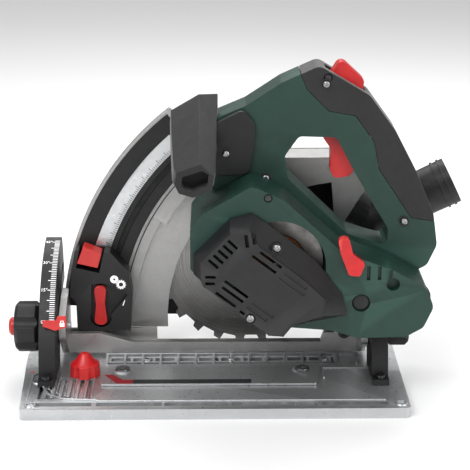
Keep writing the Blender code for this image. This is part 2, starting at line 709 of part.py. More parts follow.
def make_hood(bevel):
    """The blade hood: an open-sided casting on the motor side and its outer cover."""
    hood = plate("blade_hood", [hood_outline(0)], HOOD_NEAR, HOOD_FAR)
    cut(hood, plate("hood_inside", [hood_outline(HOOD_WALL)], HOOD_NEAR + HOOD_WALL, HOOD_FAR + 5 * MM))
    window = about_pivot(45 * MM, HOOD_RADIUS - HOOD_BAND, math.radians(-20), math.radians(58), 14)
    cut(hood, plate("hood_window", [window], HOOD_NEAR - 5 * MM, HOOD_NEAR + HOOD_WALL + 1 * MM))
    upper = about_pivot(45 * MM, PLUNGE_ARM + MOTOR_BOSS + 12 * MM, math.radians(40), math.radians(85), 8)
    cut(hood, plate("hood_upper_window", [upper], HOOD_NEAR - 5 * MM, HOOD_NEAR + HOOD_WALL + 1 * MM))
    along = Vector((math.cos(DUST_SWIVEL_ANGLE), 0, math.sin(DUST_SWIVEL_ANGLE)))
    joint = Vector((DUST_JOINT[0], (HOOD_NEAR + HOOD_FAR) / 2, DUST_JOINT[1]))
    mouth = rod("hood_mouth", joint - along * 12 * MM, joint + along * 12 * MM, DUST_MOUTH)
    cut(hood, mouth)
    finish(hood, "cast", bevel)
    cover = plate("hood_outer_cover", [hood_outline(0)], HOOD_FAR + GAP, HOOD_FAR + GAP + 3 * MM)
    raised = about_pivot(60 * MM, HOOD_RADIUS - 14 * MM, math.radians(8), math.radians(44), 8)
    fuse(cover, plate("cover_panel", [raised], HOOD_FAR + 1 * MM, HOOD_FAR + 5 * MM))
    finish(cover, "cast", bevel)
    for i, angle in enumerate((26,)):
        x, z = at_angle(HOOD_RADIUS - 8 * MM, math.radians(angle))
        head = HOOD_FAR + GAP * 2 + 3 * MM
        screw = turned(f"hood_screw_{i + 1}", [(0, 2.2 * MM), (3.4 * MM, 1.8 * MM), (3.4 * MM, 0), (0, 0)],
                       (x, head, z), (0, 1, 0), 14)
        cut(screw, rod(f"hood_hex_{i}", (x, head + 1 * MM, z), (x, head + 5 * MM, z), 1.6 * MM, steps=6))
        finish(screw, "steel", bevel)


def make_depth_guide(bevel):
    """The black crescent with its scale, concentric with the plunge pivot."""
    far = GUIDE_NEAR + GUIDE_THICK
    guide = plate(
        "depth_guide", [about_pivot(GUIDE_INNER, GUIDE_OUTER, GUIDE_FOOT_ANGLE, GUIDE_TIP_ANGLE, 24)],
        GUIDE_NEAR, far,
    )
    recess = about_pivot(
        SCALE_INNER - GAP, SCALE_OUTER + GAP, math.radians(17), GUIDE_TIP_ANGLE - math.radians(3), 18,
    )
    cut(guide, plate("scale_recess", [recess], GUIDE_NEAR - 2 * MM, GUIDE_NEAR + SCALE_THICK + GAP))
    track = about_pivot(TRACK_INNER, TRACK_OUTER, GUIDE_FOOT_ANGLE - 0.1, GUIDE_TIP_ANGLE + 0.1, 26)
    cut(guide, plate("stop_track", [track], GUIDE_NEAR - 2 * MM, GUIDE_NEAR + 3 * MM))
    finish(guide, "black", bevel)
    strip = about_pivot(SCALE_INNER, SCALE_OUTER, math.radians(17.3), GUIDE_TIP_ANGLE - math.radians(3.3), 18)
    finish(plate("depth_scale", [strip], GUIDE_NEAR, GUIDE_NEAR + SCALE_THICK), "bright", bevel)
    bridge = about_pivot(HOOD_RADIUS - 12 * MM, GUIDE_INNER + 14 * MM, math.radians(30), math.radians(44), 6)
    spacer = plate("guide_spacer", [bridge], far + GAP, HOOD_NEAR - GAP)
    finish(spacer, "black", bevel)
    return guide


def make_depth_stop(bevel):
    """The slide that stops the plunge, with its push button and its two-position lever."""
    axle = axis_empty("depth_stop_axis", (PIVOT_X, 0, PIVOT_Z), bevel)
    far = GUIDE_NEAR - GAP
    shape = rounded([
        (-126, 85, 4), (-122, 107, 3), (-91, 104, 4), (-76, 86, 5), (-73, 64, 3), (-75, 31),
        (-122, 31, 2), (-122.5, 59, 3), (-128, 63, 2),
    ])
    stop = plate("depth_stop", [shape], STOP_NEAR, far)
    tongue = about_pivot(TRACK_INNER + RUNNING, TRACK_OUTER - RUNNING, math.radians(7), math.radians(15), 4)
    fuse(stop, plate("stop_tongue", [tongue], far - 1 * MM, GUIDE_NEAR + 3 * MM - GAP))
    slot = rounded([(-121.6, 90), (-101.5, 85.4), (-95.8, 108), (-117, 114)])
    cut(stop, plate("button_slot", [slot], STOP_NEAR - 2 * MM, far - 2 * MM))
    stud = Vector((-101 * MM, 0, 44 * MM))
    centre = (stud.x, stud.z)
    pocket = arc(centre, 31.5 * MM, math.radians(41), math.radians(104), 8)
    pocket += arc(centre, 9.5 * MM, math.radians(150), math.radians(375), 10)
    cut(stop, plate("lever_pocket", [pocket], STOP_NEAR - 2 * MM, STOP_NEAR + LEVER_SUNK))
    near = Vector((0, STOP_NEAR + LEVER_SUNK, 0))
    cut(
        stop,
        rod(
            "lever_hole", stud + near * 0.5, stud + near + Vector((0, 7 * MM, 0)), 2.4 * MM + RUNNING,
            steps=16,
        ),
    )
    finish(stop, "black", axle)
    cap = rounded([(-120.6, 94.2), (-102.6, 90), (-98.9, 103.2), (-114.6, 109.6, 1)])
    press = axis_empty("depth_button_axis", (-109 * MM, 35 * MM, 104 * MM), axle)
    button = plate("depth_stop_button", [cap], STOP_NEAR - 0.6 * MM, far - 2.4 * MM)
    finish(button, "red", press)
    turn = axis_empty("depth_lever_axis", (stud.x, 0, stud.z), axle)
    blade = rounded([
        (-106.6, 73, 4), (-105, 56, 6), (-107.2, 37, 4.5), (-94.8, 37, 4.5), (-97, 56, 6), (-95.4, 73, 4),
    ], steps=3)
    lever = plate("depth_stop_lever", [blade], LEVER_NEAR, STOP_NEAR + LEVER_SUNK - GAP)
    soften(lever, 0.6 * MM)
    near = Vector((0, STOP_NEAR + LEVER_SUNK, 0))
    fuse(
        lever,
        rod(
            "lever_stud", stud + near - Vector((0, 2 * MM, 0)), stud + near + Vector((0, 6 * MM, 0)),
            2.4 * MM, steps=16,
        ),
    )
    finish(lever, "red", turn)


def lobed_knob(name, centre, direction, radius, length, bore):
    """A clamp knob with six finger hollows, its back face at the centre point."""
    direction = Vector(direction)
    knob = turned(name, [
        (bore, length), (radius - 3 * MM, length), (radius, length - 3 * MM), (radius, 4 * MM),
        (radius - 5 * MM, 0), (bore, 0),
    ], centre, direction, 24)
    for i in range(6):
        angle = math.radians(60 * i + 30)
        offset = Vector((0, math.cos(angle), math.sin(angle))) * (radius + 3 * MM)
        start = Vector(centre) + offset - direction * 5 * MM
        cut(knob, rod(f"{name}_hollow_{i}", start, start + direction * (length + 10 * MM), 6 * MM, steps=12))
    return knob


def make_clamps(bevel):
    """The front and rear bevel clamps: bolt, knob and, at the front, the release button."""
    out = FRONT_QUADRANT_X - GAP
    y, z = on_quadrant(CLAMP_RADIUS, CLAMP_ANGLE_FRONT)
    axle = axis_empty("front_clamp_axis", (out, y, z), bevel)
    knob = lobed_knob(
        "front_clamp_knob", (out, y, z), (-1, 0, 0), FRONT_KNOB_RADIUS, 22 * MM, CLAMP_BOLT_RADIUS + GAP,
    )
    cut(knob, rod("button_seat", (out - 12 * MM, y, z), (out - 30 * MM, y, z), BUTTON_RADIUS + RUNNING))
    finish(knob, "black", axle)
    inner = FRONT_QUADRANT_X + QUADRANT_THICK + 1 * MM + BRACKET_THICK
    bolt = rod("front_clamp_bolt", (out - 11 * MM, y, z), (inner + 4 * MM, y, z), CLAMP_BOLT_RADIUS)
    finish(bolt, "steel", bevel)
    press = axis_empty("bevel_release_axis", (out - 22 * MM, y, z), bevel)
    button = turned("bevel_release_button", [
        (0, 13 * MM), (
            BUTTON_RADIUS - 2 * MM, 12.4 * MM,
        ), (BUTTON_RADIUS, 10.5 * MM), (BUTTON_RADIUS, 0), (0, 0),
    ], (out - 15.5 * MM, y, z), (-1, 0, 0), 24)
    finish(button, "red", press)
    y, z = on_quadrant(CLAMP_RADIUS, CLAMP_ANGLE_REAR)
    out = REAR_QUADRANT_X + QUADRANT_THICK + GAP
    axle = axis_empty("rear_clamp_axis", (out, y, z), bevel)
    knob = lobed_knob(
        "rear_clamp_knob", (out, y, z), (1, 0, 0), REAR_KNOB_RADIUS, 20 * MM, CLAMP_BOLT_RADIUS + GAP,
    )
    finish(knob, "black", axle)
    bolt = rod(
        "rear_clamp_bolt", (REAR_QUADRANT_X - 1 * MM - BRACKET_THICK - 4 * MM, y, z),
        (out + 17 * MM, y, z), CLAMP_BOLT_RADIUS,
    )
    finish(bolt, "steel", bevel)


def make_pointer(bevel):
    """The red pointer that reads the bevel scale on the front quadrant's rim."""
    inner = FRONT_QUADRANT_X + QUADRANT_THICK + 1 * MM
    y, z = on_quadrant(QUADRANT_RADIUS + 4.5 * MM, math.radians(32))
    shape = [
        (inner - 11 * MM, z - 4 * MM), (inner - 1 * MM, z - 8 * MM), (inner + 9 * MM, z - 5 * MM),
        (inner + 9 * MM, z + 5 * MM), (inner + 2 * MM, z + 5 * MM), (inner, z + 1 * MM), (
            inner - 11 * MM, z + 1 * MM,
        ),
    ]
    pointer = plate("bevel_pointer", [shape], y - 2.5 * MM, y - 0.5 * MM)
    finish(pointer, "red", bevel)


def make_dust_elbow(bevel):
    """The dust outlet: a bent spout that swivels in the hood's mouth."""
    along = Vector((math.cos(DUST_SWIVEL_ANGLE), 0, math.sin(DUST_SWIVEL_ANGLE)))
    spout = Vector((math.cos(DUST_SPOUT_ANGLE), 0, math.sin(DUST_SPOUT_ANGLE)))
    joint = Vector((DUST_JOINT[0], (HOOD_NEAR + HOOD_FAR) / 2, DUST_JOINT[1]))
    axle = axis_empty("dust_swivel_axis", joint, bevel)
    centre = joint + along * DUST_ELBOW_REACH
    elbow = rod("dust_elbow", joint + along * GAP, centre, DUST_RADIUS - 3 * MM, None, 28)
    ball = bmesh.new()
    bmesh.ops.create_uvsphere(ball, u_segments=24, v_segments=12, radius=DUST_RADIUS - 1 * MM)
    fuse(elbow, from_bmesh("elbow_ball", ball, centre))
    tip = centre + spout * DUST_SPOUT_LENGTH
    fuse(elbow, rod("elbow_spout", centre, tip, DUST_RADIUS - 1 * MM, DUST_RADIUS, 28))
    for i, back in enumerate((6 * MM, 12 * MM)):
        start = tip - spout * back
        fuse(elbow, rod(f"elbow_ring_{i}", start, start + spout * 2 * MM, DUST_RADIUS + 1 * MM, None, 28))
    inner = DUST_RADIUS - DUST_WALL - 1 * MM
    cut(elbow, rod("spout_inside", centre, tip + spout * 5 * MM, inner, None, 24))
    cut(elbow, rod("elbow_inside", joint - along * 5 * MM, centre, DUST_MOUTH, None, 24))
    core = bmesh.new()
    bmesh.ops.create_uvsphere(core, u_segments=20, v_segments=10, radius=DUST_MOUTH + 0.5 * MM)
    cut(elbow, from_bmesh("elbow_core", core, centre))
    finish(elbow, "black", axle)


def head_clearance(name):
    """The space that the rear quadrant and clamp sweep under the head as the frame tips."""
    start = Vector((PIVOT_X + 5 * MM, BLADE_Y, BEVEL_Z))
    return rod(name, start, start + Vector((90 * MM, 0, 0)), QUADRANT_RADIUS + 2 * MM, None, 64)


def cut_head_hollows(shell, tag):
    """The room inside the shells for the motor, the controls and the handle's switch."""
    axis = MOTOR_AXIS
    cut(
        shell,
        rod(
            f"{tag}_bore", axis + Vector((0, HEAD_NEAR - 5 * MM, 0)),
            axis + Vector((0, HEAD_FAR - 4 * MM, 0)), MOTOR_BORE + GAP, None, ROUND_STEPS,
        ),
    )
    cut(
        shell,
        rod(f"{tag}_neck", axis, axis + Vector((0, HANDLE_FAR + 5 * MM, 0)), NECK_RADIUS + GAP, None, 36),
    )
    room = rounded([(104, 84, 4), (150, 84, 4), (150, 106, 4), (112, 106, 4)])
    cut(shell, plate(f"{tag}_room", [room], -46 * MM, SPLIT_Y + 1 * MM if tag == "near" else SPLIT_Y))
    cut(shell, plate(f"{tag}_handle", [rounded(HANDLE_HOLLOW)], HANDLE_NEAR + 4 * MM, HANDLE_FAR - 4 * MM))
    cut(shell, head_clearance(f"{tag}_clearance"))


def make_housing(plunge):
    """The green clamshell, a near and a far half, and the rubber grip along the handle's back."""
    near = plate("housing_near_shell", [rounded(BARREL_OUTLINE)], HEAD_NEAR, SPLIT_Y)
    handle = [rounded(HANDLE_OUTLINE), rounded(HANDLE_HOLE)]
    fuse(near, plate("near_handle", handle, HANDLE_NEAR, SPLIT_Y))
    far = plate("housing_far_shell", [rounded(BARREL_OUTLINE)], SPLIT_Y + 2 * GAP, HEAD_FAR)
    fuse(far, plate("far_handle", handle, SPLIT_Y + GAP, HANDLE_FAR))
    grip = plate("rubber_grip", handle, HANDLE_NEAR, HANDLE_FAR)
    for piece, tag in ((near, "near"), (far, "far"), (grip, "grip")):
        if tag != "grip":
            cut(
                piece,
                plate(f"{tag}_grip_space", [rounded(GRIP_OUTLINE)], HEAD_NEAR - 5 * MM, HANDLE_FAR + 5 * MM),
            )
        cut_head_hollows(piece, tag)
    seat = [(x + 0.3, z + 0.2, *rest) for x, z, *rest in GRIP_OUTLINE]
    meet(grip, plate("grip_limit", [rounded(seat)], HANDLE_NEAR - 5 * MM, HANDLE_FAR + 5 * MM))
    for piece, tag in ((near, "near"), (far, "far")):
        cut(
            piece,
            plate(
                f"{tag}_trigger_slot", [rounded(TRIGGER_SLOT)], TRIGGER_NEAR - RUNNING,
                TRIGGER_FAR + RUNNING,
            ),
        )
    cut(grip, plate("thumb_slot", [rounded(THUMB_SLOT)], THUMB_NEAR - RUNNING, THUMB_FAR + RUNNING))
    for i, place in enumerate(SHELL_SCREWS):
        x, z = place[0] * MM, place[1] * MM
        face = HANDLE_NEAR if place[2] == "handle" else HEAD_NEAR
        cut(
            grip if place[2] == "handle" else near,
            rod(f"shell_seat_{i}", (x, face - 5 * MM, z), (x, face + 1.5 * MM, z), 3.6 * MM, None, 16),
        )
        screw = turned(f"shell_screw_{i + 1}", [(0, 1.2 * MM), (2.6 * MM, 1 * MM), (3 * MM, 0), (0, 0)],
                       (x, face + 1.5 * MM - GAP, z), (0, -1, 0), 14)
        finish(screw, "steel", plunge)
    boss_x, boss_z = 120 * MM, 88 * MM
    cut(
        near,
        rod(
            "boss_seat", (boss_x, HEAD_NEAR - 5 * MM, boss_z), (boss_x, HEAD_NEAR + 3 * MM, boss_z),
            7.6 * MM, None, 24,
        ),
    )
    boss = turned("housing_boss_plug", [
        (0, 2.2 * MM), (5 * MM, 2 * MM), (7 * MM, 1 * MM), (7 * MM, 0), (0, 0),
    ],
                  (boss_x, HEAD_NEAR + 3 * MM - GAP, boss_z), (0, -1, 0), 24)
    finish(boss, "black", plunge)
    cut(
        near,
        rod(
            "cable_hole", (146 * MM, HEAD_NEAR - 5 * MM, 104 * MM),
            (146 * MM, HEAD_NEAR + 6 * MM, 104 * MM), 5.5 * MM, None, 20,
        ),
    )
    dial = Vector((169 * MM, HEAD_NEAR + 12 * MM, 90 * MM))
    seat = rod(
        "dial_seat", dial - Vector((0, 3.4 * MM, 0)), dial + Vector((0, 3.4 * MM, 0)),
        DIAL_RADIUS + RUNNING, None, 28,
    )
    cut(near, seat)
    for i in range(3):
        x = (124 + 9 * i) * MM
        cut(
            near,
            block(
                f"rear_vent_{i}", (x, HEAD_NEAR - 5 * MM, 108 * MM),
                (x + 3 * MM, HEAD_NEAR + 2.5 * MM, 120 * MM),
            ),
        )
    finish(near, "green", plunge)
    finish(far, "green", plunge)
    finish(grip, "rubber", plunge)
    axle = axis_empty("speed_dial_axis", dial, plunge)
    wheel = rod(
        "speed_dial", dial - Vector((0, 3 * MM, 0)), dial + Vector((0, 3 * MM, 0)), DIAL_RADIUS, None, 24,
    )
    finish(wheel, "red", axle)


def make_controls(plunge):
    """The trigger, the thumb lock-off and the spindle lock lever."""
    y = (TRIGGER_NEAR + TRIGGER_FAR) / 2
    axle = axis_empty("trigger_axis", (100 * MM, y, 222 * MM), plunge)
    shape = rounded([(90, 214, 3), (95, 224, 3), (106, 222, 3), (121, 190, 3), (113, 180, 4), (101, 178, 5), (97, 184, 8), (97, 204, 8)])
    trigger = plate("trigger", [shape], TRIGGER_NEAR, TRIGGER_FAR)
    soften(trigger, 1 * MM)
    finish(trigger, "red", axle)
    down = axis_empty("thumb_axis", (110 * MM, y, 260 * MM), plunge)
    thumb = plate(
        "thumb_lock", [rounded([(95.5, 266), (104, 280, 5), (124, 261.5, 5), (121.5, 248)])], THUMB_NEAR,
        THUMB_FAR,
    )
    soften(thumb, 1 * MM)
    finish(thumb, "red", down)
    turn = Vector((104 * MM, HEAD_NEAR - 6 * MM, 142 * MM))
    axle = axis_empty("spindle_lock_axis", turn, plunge)
    shape = rounded(
        [(99, 146, 4), (108, 147, 4), (112, 132), (122, 124, 3), (118, 113, 3), (109, 114, 3), (102, 132)]
    )
    lever = plate("spindle_lock_lever", [shape], HEAD_NEAR - 6 * MM, HEAD_NEAR - GAP)
    soften(lever, 1 * MM)
    finish(lever, "red", axle)


def make_motor_cover(plunge):
    """The vented end cover of the motor."""
    cover = plate("motor_cover", [rounded(COVER_OUTLINE)], COVER_NEAR, HEAD_NEAR - GAP)
    axis = MOTOR_AXIS
    inside = rod(
        "cover_inside", axis + Vector((0, COVER_NEAR + 3 * MM, 0)),
        axis + Vector((0, HEAD_NEAR + 5 * MM, 0)), COVER_BORE, None, ROUND_STEPS,
    )
    slope = math.radians(-38)
    for row, (count, x, z, length) in enumerate(((4, 6, 137, 22), (4, 38, 112, 26))):
        for i in range(count):
            middle = Vector(((x + 6.5 * i) * MM, COVER_NEAR, (z + 5 * i) * MM))
            slot = block(
                f"vent_{row}_{i}", (-length / 2 * MM, -3 * MM, -1.3 * MM),
                (length / 2 * MM, 9 * MM, 1.3 * MM),
            )
            slot.data.transform(Matrix.Translation(slot.location))
            slot.rotation_euler = (0, -slope, 0)
            slot.location = middle
            cut(cover, slot)
    cut(cover, inside)
    finish(cover, "black", plunge)


def make_front_handle(plunge):
    """The hollow front handle that reaches out from the neck, and the neck's cover."""
    far = Vector((-18 * MM, 8 * MM, 229 * MM))
    near = Vector((-16.5 * MM, -62 * MM, 192 * MM))
    along = (near - far).normalized()
    form = bmesh.new()
    for y, ring in ((8 * MM, HORN_FAR), (-62 * MM, HORN_NEAR)):
        for x, z in ring:
            form.verts.new((x * MM, y, z * MM))
    bmesh.ops.convex_hull(form, input=form.verts)
    bmesh.ops.dissolve_limit(form, angle_limit=math.radians(3), verts=form.verts, edges=form.edges)
    handle = from_bmesh("front_handle", form, Vector())
    soften(handle, 2.5 * MM)
    start = near - along * 26 * MM
    pocket = block("handle_pocket", (-9 * MM, -6 * MM, 0), (9 * MM, 6 * MM, 40 * MM))
    pocket.data.transform(Matrix.Translation(pocket.location))
    soften(pocket, 3.5 * MM)
    pocket.rotation_mode = "QUATERNION"
    pocket.rotation_quaternion = Vector((0, 0, 1)).rotation_difference(along)
    pocket.location = start
    cut(handle, pocket)
    edge = block("neck_face", (-2.3 * MM, -30 * MM, 150 * MM), (60 * MM, 60 * MM, 300 * MM))
    cut(handle, edge)
    finish(handle, "black", plunge)
    shape = rounded([(0, 184, 5), (1, 230, 5), (24, 241, 6), (34, 228, 8), (32, 206, 6), (28, 186, 5)])
    neck = plate("neck_cover", [shape], HANDLE_NEAR - 5 * MM, HANDLE_NEAR - GAP)
    soften(neck, 1.5 * MM)
    finish(neck, "black", plunge)


def gear_outline(teeth, phase):
    """A spur gear's outline with straight-sided teeth, the first tooth centred on the phase angle."""
    pitch = teeth * GEAR_MODULE / 2
    tip, root = pitch + 0.8 * GEAR_MODULE, pitch - 1.1 * GEAR_MODULE
    points = []
    for tooth in range(teeth):
        middle = phase + 2 * math.pi * tooth / teeth
        for share, radius in ((-0.27, root), (-0.1, tip), (0.1, tip), (0.27, root)):
            angle = middle + share * 2 * math.pi / teeth
            points.append((radius * math.cos(angle), radius * math.sin(angle)))
    return points


def make_gear(name, teeth, phase, axis, low, high, bore):
    outline = [(axis.x + x, axis.z + z) for x, z in gear_outline(teeth, phase)]
    holes = [circle((axis.x, axis.z), bore, 16)] if bore else []
    return plate(name, [outline] + holes, low, high)


def make_gear_case(plunge):
    """The gear case with the motor's neck and the arm to the plunge pivot, and its cover."""
    spindle, lay, motor, pivot = [(p.x, p.z) for p in (SPINDLE, LAY_AXIS, MOTOR_AXIS, PIVOT)]
    circles = ((spindle, SPINDLE_BOSS), (lay, LAY_BOSS), (motor, MOTOR_BOSS))
    case = plate("gear_case", [hull_of(circles)], CASE_NEAR, CASE_FAR - CASE_COVER - GAP)
    axis = MOTOR_AXIS
    fuse(
        case,
        rod(
            "case_neck", axis + Vector((0, HEAD_FAR - 3 * MM, 0)),
            axis + Vector((0, CASE_NEAR + 1 * MM, 0)), NECK_RADIUS, None, 32,
        ),
    )
    arm = hull_of(((pivot, ARM_EYE), (motor, NECK_RADIUS - 1 * MM)))
    fuse(case, plate("pivot_arm", [arm], ARM_NEAR, ARM_FAR))
    room = hull_of([(centre, radius - CASE_WALL) for centre, radius in circles])
    cut(case, plate("case_room", [room], CASE_NEAR + CASE_WALL, CASE_FAR + 5 * MM))
    cut(
        case,
        rod(
            "neck_room", axis + Vector((0, HEAD_FAR - 5 * MM, 0)),
            axis + Vector((0, ARM_FAR - 2 * MM, 0)), NECK_RADIUS - 3 * MM, None, 32,
        ),
    )
    cut(case, rod("bearing_seat", axis, axis + Vector((0, CASE_NEAR, 0)), BEARING_RADIUS + GAP, None, 24))
    cut(case, rod("pinion_way", axis, axis + Vector((0, CASE_FAR, 0)), 7.5 * MM, None, 20))
    eye = PIVOT + Vector((0, ARM_NEAR - 5 * MM, 0))
    cut(case, rod("arm_eye", eye, PIVOT + Vector((0, ARM_FAR + 5 * MM, 0)), PIN_RADIUS + GAP, None, 20))
    cut(
        case,
        rod(
            "spring_room", PIVOT + Vector((0, ARM_NEAR + 4 * MM, 0)),
            PIVOT + Vector((0, ARM_FAR + 5 * MM, 0)), 8.5 * MM, None, 24,
        ),
    )
    finish(case, "cast", plunge)
    low, high = CASE_FAR - CASE_COVER, CASE_FAR
    hole = circle(spindle, BEARING_OUTER + GAP, 28)
    cover = plate("gear_case_cover", [hull_of(circles), hole], low, high)
    finish(cover, "cast", plunge)
    bearing = plate("spindle_bearing", [
        circle(spindle, BEARING_OUTER, 28), circle(spindle, SPINDLE_RADIUS + GAP, 20),
    ],
                    low + GAP, high - GAP)
    finish(bearing, "steel", plunge)
    front = plate("motor_bearing_front", [
        circle((axis.x, axis.z), BEARING_RADIUS, 24), circle((axis.x, axis.z), SHAFT_RADIUS + GAP, 16),
    ],
                  ARM_FAR - 1 * MM, ARM_FAR + 4 * MM)
    finish(front, "steel", plunge)
    turns, points = 3, []
    for i in range(turns * 10 + 1):
        angle = 2 * math.pi * i / 10
        points.append(
            (
                6.4 * MM * math.cos(angle), ARM_FAR - 1 * MM - 5 * MM * i / (turns * 10),
                6.4 * MM * math.sin(angle),
            )
        )
    finish(wire("plunge_spring", points, 0.7 * MM, PIVOT), "steel")
    bpy.data.objects["plunge_spring"].location -= world_of(plunge.parent)
    bpy.data.objects["plunge_spring"].parent = plunge.parent


def hull_of(circles):
    """The outline of a belt laid tightly round circles given as (centre, radius)."""
    points = [Vector((x, z)) for centre, radius in circles for x, z in circle(centre, radius, 28)]
    points.sort(key=lambda p: (p.x, p.y))
    sides = []
    for order in (points, points[::-1]):
        side = []
        for point in order:
            while len(side) > 1 and (side[-1] - side[-2]).cross(point - side[-2]) <= 1e-12:
                side.pop()
            side.append(point)
        sides += side[:-1]
    return [(p.x, p.y) for p in sides]


def wire(name, points, radius, place):
    """A round wire along points, as a mesh."""
    curve = bpy.data.curves.new(name, "CURVE")
    curve.dimensions = "3D"
    curve.bevel_depth = radius
    curve.bevel_resolution = 1
    curve.use_fill_caps = True
    spline = curve.splines.new("POLY")
    spline.points.add(len(points) - 1)
    for point, place_of in zip(spline.points, points):
        point.co = (*place_of, 1)
    holder = bpy.data.objects.new(name, curve)
    SAW.objects.link(holder)
    bpy.context.view_layer.update()
    ready = holder.evaluated_get(bpy.context.evaluated_depsgraph_get())
    mesh = bpy.data.meshes.new_from_object(ready)
    bpy.data.objects.remove(holder)
    bpy.data.curves.remove(curve)
    bm = bmesh.new()
    bm.from_mesh(mesh)
    bpy.data.meshes.remove(mesh)
    bmesh.ops.remove_doubles(bm, verts=bm.verts, dist=0.00001)
    return from_bmesh(name, bm, place)


